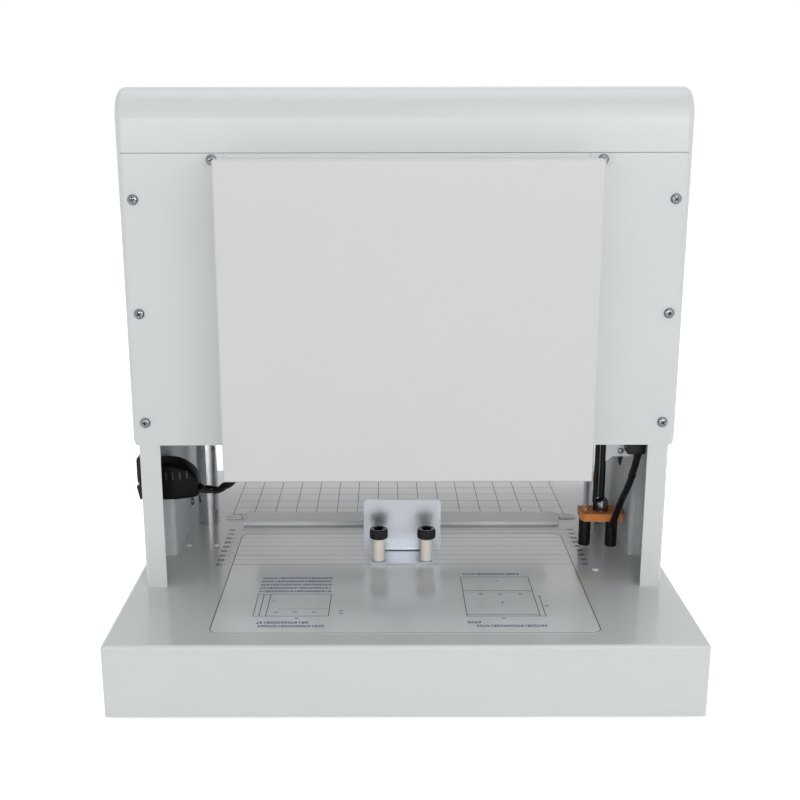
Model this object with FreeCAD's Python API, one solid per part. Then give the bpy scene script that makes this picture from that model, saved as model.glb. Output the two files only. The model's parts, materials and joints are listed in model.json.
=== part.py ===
import FreeCAD, Part
import math
import os

# Motorised drilling and riveting press for documents. Millimetres, +Z up.
# -Y is the side with the back gauge and the drive cover, +Y the operator's side.
# The origin lies under the middle of the base, on the surface the machine stands on.

V = FreeCAD.Vector
X = V(1, 0, 0)
Y = V(0, 1, 0)
Z = V(0, 0, 1)

# Clearances
slide_fit = 0.05
free_gap = 0.3
screw_gap = 0.1

# How far a cutting block reaches past a sheet
cut_past = 5.0

# Base cabinet
base_width = 506.0
base_depth = 480.0
base_height = 65.0
base_sheet = 1.5
base_edge_r = 3.0
floor_sheet = 2.0
foot_out = 4.0
foot_r = 12.0
foot_taper = 1.5
foot_stem_r = 3.0
foot_inset = 45.0
bed_thickness = 10.0
bed_set = 17.0
bed_front = 152.0
bed_rear = -52.0
rail_set = 83.0
rail_width = 30.0
rail_wall = 3.0

# Head shell
head_narrower = 18.0
head_rear = -121.0
head_front = 178.0
head_bottom = 206.8
head_top = 518.2
seam_z = 463.6
head_sheet = 1.5
head_bend_r = 26.0
brow_r = 20.0
brow_y = 98.0
knee_z = 398.0
knee_r = 12.0
head_edge_r = 6.0
tray_return = 13.0
fascia_top = 478.0
seam_gap = 0.4
lip_height = 5.5
vent_count = 7
vent_pitch = 11.0
vent_height = 3.5
vent_length = 60.0
vent_low = 330.0
vent_y = 70.0
head_stock = 20.0
lip_reach = 3.0
lip_slope = 1.3

# Drive cover that stands proud of the rear panel
cover_width = 313.0
cover_shift = 2.3
cover_proud = 62.0
cover_bottom = 191.9
cover_top = 460.0
cover_sheet = 1.5
cover_edge_r = 2.0
ear_reach = 19.5
ear_height = 10.0
ear_z = 458.0
motor_opening = 3.0

# Side covers and the frames behind them
side_set = 5.0
side_sheet = 1.5
side_flange = 18.9
side_bend_r = 1.0
side_top = 440.0
frame_set = 14.0
frame_sheet = 3.0
frame_rear = -42.0
frame_front = 145.0
frame_bend_r = 1.5
frame_bolt_y = 48.6
frame_bolt_z = 94.7
frame_hole_r = 1.8
frame_hole_y = -26.0
frame_hole_z = 101.0
crown_thickness = 10.0
crown_z = 432.0
crown_half_y = 55.0
crown_window_x = 100.0
crown_window_half_x = 50.0
crown_window_half_y = 25.0
crown_window_r = 8.0

# Guide columns
column_r = 11.0
column_set = 17.0
column_y = 55.0
column_stud_r = 8.0
column_chamfer = 1.0
nut_flats = 24.0
nut_height = 10.0
stud_past_nut = 2.0

# Press beam
beam_end_gap = 4.0
beam_z = 194.0
beam_height = 25.0
beam_depth = 50.0
beam_corner_r = 12.0
arm_root_r = 4.0
arm_tip_r = 2.0
bush_r = 14.5
bush_flange_r = 16.5
bush_flange_h = 4.0
bush_below = 14.0
bush_above = 22.0

# Drills, their spindles and motors
motor_gap = 3.5
drill_r = 3.0
drill_bore_r = 2.1
drill_tip_z = 128.6
drill_shank = 22.0
drill_bevel = 1.5
spindle_r = 7.5
spindle_bore_r = 2.6
spindle_nose_z = 192.0
spindle_top_z = 262.0
bearing_r = 16.0
cartridge_z = 195.5
cartridge_top = 240.0
motor_r = 38.0
motor_base_z = 246.0
motor_height = 118.0
motor_neck_r = 21.0
motor_cap_h = 14.0
motor_cap_set = 5.0
motor_bore_past = 2.0

# Rack lift
gear_module = 2.0
pinion_teeth = 20
pressure_angle = 20.0
gear_backlash = 0.3
gear_width = 12.0
shaft_y = -25.0
shaft_z = 305.0
shaft_r = 7.0
shaft_past = 5.0
shaft_bevel = 1.0
rack_set = 48.0
rack_back = 9.0
rack_past = 24.0
rack_below = 18.0
rack_foot = 10.0
rack_arm_half = 13.0
hub_r = 13.0
hub_width = 8.0
shaft_bearing_r = 14.0
shaft_bearing_flange_r = 16.5
shaft_bearing_flange = 3.5
gearbox_half = 28.0
gearbox_height = 74.0
gearbox_drop = 26.0
gearbox_bevel = 5.0
gearbox_boss_wall = 9.0
gearbox_boss = 4.0
worm_rise = 22.0
lift_motor_r = 27.0
lift_motor_length = 102.0
lift_motor_bevel = 3.0
motor_flange = 8.0
hanger_plate = 6.0
hanger_plate_half = 34.0
hanger_plate_rise = 6.0

# Pressure foot under the beam
bar_z = 128.0
bar_height = 10.0
bar_past_rod = 16.0
bar_depth = 34.0
bar_hole_r = 5.0
bar_bevel = 1.0
rod_r = 5.0
rod_set = 18.0
rod_collar_r = 7.5
rod_collar_h = 5.0
foot_travel = 52.0
can_r = 10.5
can_wall = 2.0

# Pad strip and printed film on the table
strip_end_gap = 38.5
strip_set = 3.8
strip_depth = 30.5
strip_bevel = 0.8
strip_thickness = 4.0
film_narrower = 2.5
film_near = -217.0
film_far = 16.0
film_thickness = 0.3
film_corner_r = 9.0

# Back gauge
stop_width = 76.5
stop_height = 55.4
stop_sheet = 2.0
stop_y = -35.0
stop_corner_r = 5.0
stop_bend_r = 1.5
stop_foot_width = 61.6
stop_foot_depth = 33.0
stop_relief = 4.0
post_x = 23.3
post_y = -60.0
sleeve_r = 6.0
sleeve_height = 23.0
knob_r = 8.9
knob_height = 9.3
knob_recess = 9.0
knob_recess_depth = 5.0
knob_flutes = 12
knob_flute = 0.8
knob_stem_r = 3.0
knob_low_bevel = 0.8
knob_top_bevel = 1.2

# Alignment lamps beside the right-hand column
bay_gap = 3.0
lamp_plate_width = 41.7
lamp_plate_y0 = -30.0
lamp_plate_y1 = -3.0
lamp_plate_z = 99.6
lamp_plate_h = 7.8
lamp_corner = 3.0
lamp_corner_y = 5.0
lamp_r = 6.0
lamp_heights = (27.6, 25.4)
lamp_insets = (5.2, 11.5)
lamp_ys = (-20.0, -29.0)
lamp_groove = 0.6
lamp_groove_h = 1.2
lamp_lens_r = 2.5
hanger_inset = 19.7
hanger_y = -17.0
hanger_rods = ((-6.8, 2.2), (-0.6, 2.9))
hanger_seat_z = 226.0
hanger_seat_h = 12.0
hanger_seat_half_y = 9.0
hanger_screw_r = 2.5
dome_r = 7.4
dome_h = 14.0
dome_foot_bevel = 0.6
dome_shoulder = 4.0
dome_shoulder_bevel = 3.0
dome_crown = 2.0
nylon_flats = 8.0
nylon_h = 4.0
brass_r = 3.3
brass_h = 6.5
brass_nearer = 3.0

# Terminal block and its bracket in the right-hand bay
bracket_width = 33.5
bracket_y = -92.0
bracket_sheet = 1.5
bracket_low = 187.0
bracket_high = 230.0
bracket_tip = 5.0
bracket_hem = 12.0
bracket_screw_set = 20.0
bracket_screw_z = 192.2
seal_r = 2.6
seal_length = 8.5
block_width = 16.8
block_depth = 14.0
block_low = 193.0
block_height = 20.0

# Power inlet in the left side cover
inlet_y = -75.0
inlet_z = 163.0
inlet_height = 46.0
inlet_width = 29.0
inlet_proud = 10.8
inlet_flange = 2.0
inlet_bezel = 5.5
inlet_shroud_low = 0.5
inlet_shroud_high = 20.5
inlet_shroud_width = 27.0
inlet_inside = 6.0
inlet_wall = 2.2
socket_width = 22.0
socket_height = 15.0
socket_rise = 10.5
pin_r = 1.2
pin_places = ((-6.0, 0.0), (6.0, 0.0), (0.0, 3.0))
boot_reach = 43.5
boot_height = 35.0
boot_drop = 1.5
boot_width = 33.0
boot_nose_height = 24.0
boot_nose_width = 20.0
boot_nose_r = 6.0
boot_flat = 25.5
boot_shoulder_r = 14.0
boot_corner = 3.0
boot_ribs = 5
boot_rib_pitch = 6.3
boot_rib_width = 2.4
boot_rib_proud = 0.9
boot_rib_height = 7.5
boot_rib_lift = 20.5
boot_rib_first = 8.4
rocker_width = 15.0
rocker_r = 9.2
rocker_drop = 10.6
rocker_out = 3.6
rocker_tilt = 9.0
rocker_face = 4.6
rocker_back = 3.0

# Screws
pan_head_r = 4.55
pan_head_h = 2.9
pan_shank_r = 2.0
pan_shank = 7.0
small_screw = 0.62
panel_screw_set = 7.5
panel_screw_z = (228.0, 326.5, 425.0)
cover_screw_past = 9.0

# Operator's panel on the sloping face
keypad_half_x = 120.0
keypad_low = 22.0
keypad_high = 88.0
keypad_sheet = 1.2
keypad_corner_r = 6.0
window_x = -56.0
window_half_x = 46.0
window_low = 34.0
window_high = 76.0
window_glass = 2.0
window_corner = 2.0
key_half = 7.0
key_corner = 1.5
key_bevel = 0.8
key_proud = 2.6
key_travel = 1.2
key_pitch = 25.0
key_x = 18.0
key_rise = 55.0
key_flange = 1.4
start_key_half = 10.0
start_key_x = 98.0
board_depth = 12.0
board_sheet = 1.6
board_margin = 4.0
board_corner = 2.0
board_post_r = 2.5
board_post_x = 6.0
board_post_y = 10.0
switch_half = 3.0

# Power supply inside the head
supply_x1 = -50.0
supply_width = 100.0
supply_depth = 68.0
supply_low = 215.0
supply_high = 345.0
supply_fins = 9
supply_fin_depth = 4.0
supply_rim = 6.0

lamp_loom_r = 3.3
inlet_loom_r = 3.7

# Places that follow from the sizes above
table_z = foot_out + base_height
half_w = base_width / 2
half_d = base_depth / 2
head_width = base_width - head_narrower
head_half = head_width / 2
side_outer = head_half - side_set
frame_inner = side_outer - frame_set
column_x = frame_inner - column_set
beam_half_x = frame_inner - beam_end_gap
rack_x = column_x - rack_set
rod_x = rack_x - rod_set
bar_half_x = rod_x + bar_past_rod
shaft_end = frame_inner + shaft_past
bed_half_x = half_w - bed_set
rail_x = half_w - rail_set
strip_half_x = column_x - strip_end_gap
film_half_x = strip_half_x - film_narrower
panel_screw_x = side_outer - panel_screw_set
cover_half = cover_width / 2
cover_screw_x = cover_half + cover_screw_past
bay_x = frame_inner - bay_gap
lamp_left = V(bay_x - lamp_plate_width + lamp_insets[0], lamp_ys[0], 0)
lamp_right = V(bay_x - lamp_insets[1], lamp_ys[1], 0)
hanger_x = bay_x - hanger_inset
bracket_x0 = bay_x - bracket_width
block_x0 = bay_x - block_width
bracket_screw = V(bay_x - bracket_screw_set, 0, bracket_screw_z)
supply_x0 = supply_x1 - supply_width
cover_rear = head_rear - cover_proud
bed_z = table_z - base_sheet - bed_thickness
beam_top = beam_z + beam_height
beam_near = column_y - beam_depth / 2
beam_far = column_y + beam_depth / 2
beam_travel = bar_z - table_z - strip_thickness - free_gap
pitch_r = gear_module * pinion_teeth / 2
tooth_pitch = math.pi * gear_module
rack_pitch_y = shaft_y + pitch_r
drill_pitch = rod_x - can_r - motor_gap - motor_r
drill_xs = (-drill_pitch, 0.0, drill_pitch)
film_top = table_z + film_thickness
stop_low = film_top + free_gap
can_top = beam_top + free_gap + rod_collar_h + foot_travel + 3 * can_wall
side_inner = side_outer - side_sheet
slope_y = head_front - brow_y
slope_z = head_top - knee_z
slope_length = math.hypot(slope_y, slope_z)
slope_tilt = -math.degrees(math.atan2(slope_z, slope_y))
pivot_z = inlet_z - rocker_drop
boot_low = inlet_z - boot_drop - boot_height / 2
boot_end = base_sheet + boot_reach - side_outer
parts = {}

# Wiring looms, each followed along points placed by hand
lamp_loom_route = [
    V(bay_x - 5.0, -99.0, block_low),
    V(bay_x - 6.2, -89.0, 171.5),
    V(bay_x - 6.2, -69.0, 148.5),
    V(bay_x - 7.4, -46.0, 126.0),
    V(lamp_right.x - 0.4, lamp_right.y - 4.8, lamp_plate_z - 3.6),
]
inlet_loom_route = [
    V(boot_end - 0.5, inlet_y, 152.0),
    V(boot_end + 13.0, inlet_y - 2.5, 148.5),
    V(boot_end + 26.0, inlet_y - 11.0, 156.0),
    V(boot_end + 42.0, inlet_y - 29.0, 172.0),
    V(boot_end + 52.0, inlet_y - 36.0, 193.0),
    V(boot_end + 55.0, inlet_y - 37.0, supply_low),
]


def box(x0, x1, y0, y1, z0, z1):
    return Part.makeBox(x1 - x0, y1 - y0, z1 - z0, V(x0, y0, z0))


def rod(r, start, axis, length):
    return Part.makeCylinder(r, length, start, axis)


def tube(r, bore, start, axis, length):
    return rod(r, start, axis, length).cut(rod(bore, start, axis, length))


def rounded_wire(points):
    """Closed outline through (point, radius) pairs, with a tangent arc at each radius."""
    n = len(points)
    turns = []
    for i in range(n):
        p, r = points[i]
        if r <= 0:
            turns.append((p, None, p))
            continue
        a = (points[i - 1][0] - p).normalize()
        b = (points[(i + 1) % n][0] - p).normalize()
        half = a.getAngle(b) / 2
        cut = r / math.tan(half)
        middle = (a + b).normalize()
        bulge = p + middle * (r / math.sin(half) - r)
        turns.append((p + a * cut, bulge, p + b * cut))
    edges = []
    for i in range(n):
        start, bulge, stop = turns[i]
        following = turns[(i + 1) % n][0]
        if bulge is not None:
            edges.append(Part.Arc(start, bulge, stop).toShape())
        if (following - stop).Length > 1e-6:
            edges.append(Part.LineSegment(stop, following).toShape())
    return Part.Wire(edges)


def corner_radius(point):
    return point[2] if len(point) > 2 else 0


def across(points, x0, x1):
    """Solid between two X places from an outline of (y, z, corner radius)."""
    outline = [(V(x0, p[0], p[1]), corner_radius(p)) for p in points]
    return Part.Face(rounded_wire(outline)).extrude(V(x1 - x0, 0, 0))


def along(points, y0, y1):
    """Solid between two Y places from an outline of (x, z, corner radius)."""
    outline = [(V(p[0], y0, p[1]), corner_radius(p)) for p in points]
    return Part.Face(rounded_wire(outline)).extrude(V(0, y1 - y0, 0))


def upright(points, z0, z1):
    """Solid between two heights from an outline of (x, y, corner radius)."""
    outline = [(V(p[0], p[1], z0), corner_radius(p)) for p in points]
    return Part.Face(rounded_wire(outline)).extrude(V(0, 0, z1 - z0))


def shifted(before, here, after, distance):
    """The corner moved to the left of the path by a distance, measured square to both sides."""
    d1 = (here[0] - before[0], here[1] - before[1])
    d2 = (after[0] - here[0], after[1] - here[1])
    l1 = math.hypot(*d1)
    l2 = math.hypot(*d2)
    n1 = (-d1[1] / l1, d1[0] / l1)
    n2 = (-d2[1] / l2, d2[0] / l2)
    k = 1 + n1[0] * n2[0] + n1[1] * n2[1]
    turn = d1[0] * d2[1] - d1[1] * d2[0]
    x = here[0] + distance * (n1[0] + n2[0]) / k
    y = here[1] + distance * (n1[1] + n2[1]) / k
    return x, y, turn


def folded(points, sheet, inside_r):
    """Outline of a folded sheet that follows the points and lies to their left."""
    n = len(points)
    first = []
    second = []
    for i in range(n):
        here = points[i]
        if i == 0:
            after = points[1]
            before = (2 * here[0] - after[0], 2 * here[1] - after[1])
        else:
            before = points[i - 1]
            after = points[i + 1] if i < n - 1 else (2 * here[0] - before[0], 2 * here[1] - before[1])
        x, y, turn = shifted(before, here, after, sheet)
        bend = 0 < i < n - 1
        outer_r = inside_r + sheet if bend else 0
        inner_r = inside_r if bend else 0
        first.append((here[0], here[1], outer_r if turn > 0 else inner_r))
        second.append((x, y, inner_r if turn > 0 else outer_r))
    return first + second[::-1]


def inset(points, distance):
    """Outline that runs anticlockwise, drawn in by a distance."""
    n = len(points)
    result = []
    for i in range(n):
        x, y, turn = shifted(points[i - 1], points[i], points[(i + 1) % n], distance)
        result.append((x, y, max(corner_radius(points[i]) - distance, 0)))
    return result


def mirror_x(shape):
    return shape.mirror(V(0, 0, 0), X)


def put(name, *shapes):
    parts[name] = shapes[0] if len(shapes) == 1 else Part.makeCompound(list(shapes))


def hexagon(flats, x, y, z0, z1):
    r = flats / math.sqrt(3)
    return upright([(x + r * math.cos(k * math.pi / 3), y + r * math.sin(k * math.pi / 3))
                    for k in range(6)], z0, z1)


def broken(points):
    """The outline with a straight cut across each corner that has a third value."""
    n = len(points)
    result = []
    for i in range(n):
        here = points[i]
        cut = corner_radius(here)
        if not cut:
            result.append((here[0], here[1]))
            continue
        for near in (points[i - 1], points[(i + 1) % n]):
            share = cut / math.hypot(near[0] - here[0], near[1] - here[1])
            result.append((here[0] + (near[0] - here[0]) * share, here[1] + (near[1] - here[1]) * share))
    return result


def turned(points, at):
    """Solid of revolution about a vertical axis from an outline of (radius, height, corner cut)."""
    outline = [(V(p[0], 0, p[1]), 0) for p in broken(points)]
    solid = Part.Face(rounded_wire(outline)).revolve(V(0, 0, 0), Z, 360)
    solid.translate(at)
    return solid


def pan_screw(seat, into, shank, share=1.0):
    """Pan-head screw with a cross recess, turned as one profile with its shank."""
    r = pan_head_r * share
    h = pan_head_h * share
    stem = pan_shank_r * share
    screw = turned([(0, -shank), (stem, -shank), (stem, 0), (r, 0), (r, h * 0.45), (r * 0.72, h), (0, h)],
                   V(0, 0, 0))
    arm = r * 0.5
    slot = r * 0.12
    cross = box(-arm, arm, -slot, slot, h * 0.5, h * 2)
    screw = screw.cut(cross.fuse(box(-slot, slot, -arm, arm, h * 0.5, h * 2)))
    screw.Placement = FreeCAD.Placement(seat, FreeCAD.Rotation(Z, into * -1))
    return screw


def upper_edges(solid, low):
    """Edges of an upright block, apart from those of its open underside."""
    return [e for e in solid.Edges if max(v.Z for v in e.Vertexes) > low + 0.01]


def base():
    outer = box(-half_w, half_w, -half_d, half_d, foot_out, table_z)
    outer = outer.makeFillet(base_edge_r, upper_edges(outer, foot_out))
    s = base_sheet
    below = foot_out - cut_past
    cover = outer.cut(box(-half_w + s, half_w - s, -half_d + s, half_d - s, below, table_z - s))
    for side in (-1, 1):
        cover = cover.cut(rod(column_r + free_gap, V(side * column_x, column_y, bed_z), Z, base_height))
    put("base_cover", cover)

    x = half_w - s - free_gap
    y = half_d - s - free_gap
    r = base_edge_r
    floor = upright([(-x, -y, r), (x, -y, r), (x, y, r), (-x, y, r)], foot_out, foot_out + floor_sheet)
    feet = []
    for sx in (-1, 1):
        for sy in (-1, 1):
            at = V(sx * (half_w - foot_inset), sy * (half_d - foot_inset), 0)
            neck = foot_out + floor_sheet
            feet.append(turned([(0, 0), (foot_r - foot_taper, 0), (foot_r, foot_out),
                                (foot_stem_r, foot_out), (foot_stem_r, neck + floor_sheet),
                                (0, neck + floor_sheet)], at))
            floor = floor.cut(rod(foot_stem_r, at, Z, foot_out + 3 * floor_sheet))
    put("base_floor", floor)
    put("base_feet", *feet)

    bed = box(-bed_half_x, bed_half_x, bed_rear, bed_front, bed_z, bed_z + bed_thickness)
    low = foot_out + floor_sheet
    for side in (-1, 1):
        x0 = side * (rail_x - rail_width / 2)
        x1 = side * (rail_x + rail_width / 2)
        path = [(x1, low), (x0, low), (x0, bed_z), (x1, bed_z)]
        if side > 0:
            path.reverse()
        bed = bed.fuse(along(folded(path, rail_wall, rail_wall / 2), bed_rear, bed_front))
        bed = bed.cut(rod(column_r, V(side * column_x, column_y, bed_z - 1), Z, bed_thickness + 2))
    put("bed_frame", bed.removeSplitter())


def table_furniture():
    near = column_y + strip_set - strip_depth / 2
    top = table_z + strip_thickness
    strip = box(-strip_half_x, strip_half_x, near, near + strip_depth, table_z, top)
    upper = [e for e in strip.Edges if min(v.Z for v in e.Vertexes) > top - 0.1]
    put("pad_strip", strip.makeChamfer(strip_bevel, upper))
    r = film_corner_r
    put("table_film", upright([(-film_half_x, film_near, r), (film_half_x, film_near, r),
                               (film_half_x, film_far, r), (-film_half_x, film_far, r)],
                              table_z, film_top))


def head_profile():
    """Side view of the head, (y, z, corner radius), anticlockwise and open below."""
    low = head_bottom - head_stock
    return [(head_rear, low), (head_front, low), (head_front, knee_z, knee_r),
            (brow_y, head_top, brow_r), (head_rear, head_top, head_bend_r)]


def head_solid(distance):
    """The head as a full block, drawn in by a distance from its outer faces."""
    w = head_half - distance
    low = head_bottom - head_stock
    profile = inset(head_profile(), distance) if distance else head_profile()
    profile = [(p[0], p[1] if p[1] > head_bottom else low, corner_radius(p)) for p in profile]
    block = across(profile, -w, w)
    ends = [e for e in block.Edges if all(abs(abs(v.X) - w) < 0.01 for v in e.Vertexes)
            and max(v.Z for v in e.Vertexes) > low + 1]
    block = block.makeFillet(head_edge_r - distance, ends)
    lip_x = head_half - side_outer - lip_slope * head_sheet
    z0 = head_bottom + lip_height - lip_reach * lip_height
    x0 = head_half - lip_reach * lip_x
    lip_z = head_bottom + lip_height
    waist = [(-x0, z0), (x0, z0), (head_half, lip_z), (head_half, head_top + 2 * cut_past),
             (-head_half, head_top + 2 * cut_past), (-head_half, lip_z)]
    if distance:
        waist = inset(waist, distance)
    return block.common(along(waist, head_rear - cut_past, head_front + cut_past))


def fascia_zone(margin):
    """Region in front of and below the seams of the operator's fascia."""
    back = tray_return + margin
    dy = -slope_z / slope_length * back
    dz = -slope_y / slope_length * back
    k = slope_y / slope_z
    top = fascia_top + margin
    top_y = brow_y + dy + (head_top + dz - top) * k
    inner_y = head_front - back
    knee = head_top + dz - (inner_y - brow_y - dy) / k
    far = 2 * head_front
    low = head_bottom / 2
    return across([(top_y, top), (inner_y, knee), (inner_y, low), (far, low), (far, top)],
                  -half_w, half_w)


def on_slope(shape):
    """Moves a piece drawn flat, as the operator sees it, onto the sloping face."""
    turn = FreeCAD.Rotation(X, slope_tilt).multiply(FreeCAD.Rotation(Z, 180))
    moved = shape.copy()
    moved.Placement = FreeCAD.Placement(V(0, head_front, knee_z), turn).multiply(shape.Placement)
    return moved


def flat_plate(x0, x1, y0, y1, z0, z1, r):
    return upright([(x0, y0, r), (x1, y0, r), (x1, y1, r), (x0, y1, r)], z0, z1)


def window_plate(z0, z1):
    """The display window's outline between two heights over the sloping face."""
    return flat_plate(window_x - window_half_x, window_x + window_half_x, window_low, window_high,
                      z0, z1, window_corner)


def key_places():
    places = [(key_x + k * key_pitch, key_rise, key_half) for k in range(3)]
    return places + [(start_key_x, key_rise, start_key_half)]


def key_block(place, grow, z0, z1):
    """Square block with cut corners around a key's place, grown on each side."""
    x, y, half = place
    w = half + grow
    c = key_corner + grow / 2
    square = [(x - w, y - w, c), (x + w, y - w, c), (x + w, y + w, c), (x - w, y + w, c)]
    return upright(broken(square), z0, z1)


def head_shell():
    shell = head_solid(0).cut(head_solid(head_sheet))
    shell = shell.cut(box(-half_w, half_w, head_rear - cut_past, head_front + cut_past,
                          head_bottom - 3 * head_stock, head_bottom))
    g = seam_gap / 2
    rear = box(-half_w, half_w, head_rear - 1, head_rear + tray_return - g, head_bottom - 1, seam_z - g)
    rear_wide = box(-half_w, half_w, head_rear - 1, head_rear + tray_return + g,
                    head_bottom - 1, seam_z + g)
    hood = shell.cut(rear_wide).cut(fascia_zone(g))
    for k in range(vent_count):
        z = vent_low + k * vent_pitch
        hood = hood.cut(box(-half_w, half_w, vent_y - vent_length / 2, vent_y + vent_length / 2,
                            z, z + vent_height))
    put("head_hood", hood)

    panel = shell.common(rear)
    panel = panel.cut(rod(lift_motor_r + motor_opening, V(0, head_rear - 1, shaft_z + worm_rise), Y,
                          cut_past))
    for x, z in panel_screws():
        panel = panel.cut(rod(pan_shank_r + screw_gap, V(x, head_rear - 1, z), Y, cut_past))
    for side in (-1, 1):
        at = V(cover_shift + side * cover_screw_x, head_rear - 1, ear_z)
        panel = panel.cut(rod(pan_shank_r + screw_gap, at, Y, cut_past))
    put("rear_panel", panel)

    fascia = shell.common(fascia_zone(-g))
    for place in key_places():
        fascia = fascia.cut(on_slope(key_block(place, free_gap, -cut_past, cut_past)))
    fascia = fascia.cut(on_slope(window_plate(-cut_past, cut_past)))
    put("front_fascia", fascia)


def panel_screws():
    return [(side * panel_screw_x, z) for side in (-1, 1) for z in panel_screw_z]


def drive_cover():
    r = cover_edge_r
    s = cover_sheet
    left = cover_shift - cover_half
    right = cover_shift + cover_half
    outer = box(left, right, cover_rear, head_rear, cover_bottom, cover_top)
    outer = outer.makeFillet(r, [e for e in outer.Edges if min(v.Y for v in e.Vertexes) < head_rear - 1])
    cover = outer.cut(box(left + s, right - s, cover_rear + s, head_rear + 1,
                          cover_bottom + s, cover_top - s))
    low = ear_z - ear_height / 2
    high = ear_z + ear_height / 2
    round_r = ear_height / 2 - 0.01
    for side in (-1, 1):
        root = cover_shift + side * (cover_half - s)
        tip = cover_shift + side * (cover_half + ear_reach)
        ear = [(root, low), (tip, low, round_r), (tip, high, round_r), (root, high)]
        tab = along(ear, head_rear - s, head_rear)
        at = V(cover_shift + side * cover_screw_x, head_rear - cut_past, ear_z)
        cover = cover.fuse(tab.cut(rod(pan_shank_r + screw_gap, at, Y, 2 * cut_past)))
    put("drive_cover", cover.removeSplitter())


def screws():
    made = [pan_screw(bracket_screw + V(0, bracket_y, 0), Y, 2 * bracket_sheet, small_screw)]
    made.append(pan_screw(V(-frame_inner, frame_bolt_y, frame_bolt_z), X * -1, side_inner - frame_inner))
    for x, z in panel_screws():
        made.append(pan_screw(V(x, head_rear, z), Y, pan_shank))
    for side in (-1, 1):
        at = V(cover_shift + side * cover_screw_x, head_rear - cover_sheet, ear_z)
        made.append(pan_screw(at, Y, pan_shank))
    put("fixing_screws", *made)


def sides():
    o = -side_outer
    i = o + side_flange
    rear = head_rear + head_sheet
    front = head_front - head_sheet
    section = folded([(i, front), (o, front), (o, rear), (i, rear)], side_sheet, side_bend_r)
    cover = upright(section, table_z, side_top)
    inside = [(y, table_z if z < head_bottom else z, r) for y, z, r in inset(head_profile(), head_sheet)]
    cover = cover.common(across(inside, -half_w, half_w))
    for z in panel_screw_z:
        cover = cover.cut(rod(pan_shank_r + screw_gap, V(-panel_screw_x, rear - 1, z), Y, cut_past))
    put("side_cover_right", mirror_x(cover))
    put("side_cover_left", cover.cut(inlet_opening()))

    near = -frame_inner
    section = folded([(-side_inner, frame_rear), (near, frame_rear), (near, frame_front),
                      (-side_inner, frame_front)], frame_sheet, frame_bend_r)
    frame = upright(section, table_z, crown_z)
    inside = side_inner - frame_inner
    shoe = box(-side_inner, near - frame_sheet, frame_rear + inside, frame_front - inside,
               table_z, table_z + frame_sheet)
    frame = frame.fuse(shoe)
    frame = frame.cut(rod(shaft_bearing_r, V(near - inside, shaft_y, shaft_z), X, 2 * inside))
    put("side_frame_right", mirror_x(frame))
    bolt_at = V(near - inside, frame_bolt_y, frame_bolt_z)
    hole_at = V(near - inside, frame_hole_y, frame_hole_z)
    frame = frame.cut(rod(pan_shank_r + screw_gap, bolt_at, X, 2 * inside))
    put("side_frame_left", frame.cut(rod(frame_hole_r, hole_at, X, 2 * inside)))


def columns():
    top = crown_z + crown_thickness
    stud_top = top + nut_height + stud_past_nut
    c = column_chamfer
    nuts = []
    for side, name in ((-1, "left"), (1, "right")):
        at = V(side * column_x, column_y, 0)
        put("guide_column_" + name, turned([(0, bed_z), (column_r - c, bed_z), (column_r, bed_z + c),
                                            (column_r, crown_z), (column_stud_r, crown_z),
                                            (column_stud_r, stud_top - c), (column_stud_r - c, stud_top),
                                            (0, stud_top)], at))
        nut = hexagon(nut_flats, at.x, at.y, top, top + nut_height)
        nuts.append(nut.cut(rod(column_stud_r, at + V(0, 0, top), Z, nut_height)))
    put("column_nuts", *nuts)
    x = frame_inner + frame_sheet
    y0 = column_y - crown_half_y
    y1 = column_y + crown_half_y
    crown = box(-x, x, y0, y1, crown_z, top)
    for side in (-1, 1):
        crown = crown.cut(rod(column_stud_r, V(side * column_x, column_y, crown_z - 1), Z,
                              2 * crown_thickness))
        middle = side * crown_window_x
        crown = crown.cut(flat_plate(middle - crown_window_half_x, middle + crown_window_half_x,
                                     column_y - crown_window_half_y, column_y + crown_window_half_y,
                                     crown_z - 1, top + 1, crown_window_r))
    # A plate welded under the crown carries the gearbox.
    w = hanger_plate_half
    far = shaft_y + gearbox_half
    plate = box(-w, w, far, far + hanger_plate, shaft_z - gearbox_drop + hanger_plate_rise,
                crown_z)
    put("crown_plate", crown.fuse(plate).removeSplitter())


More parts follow.
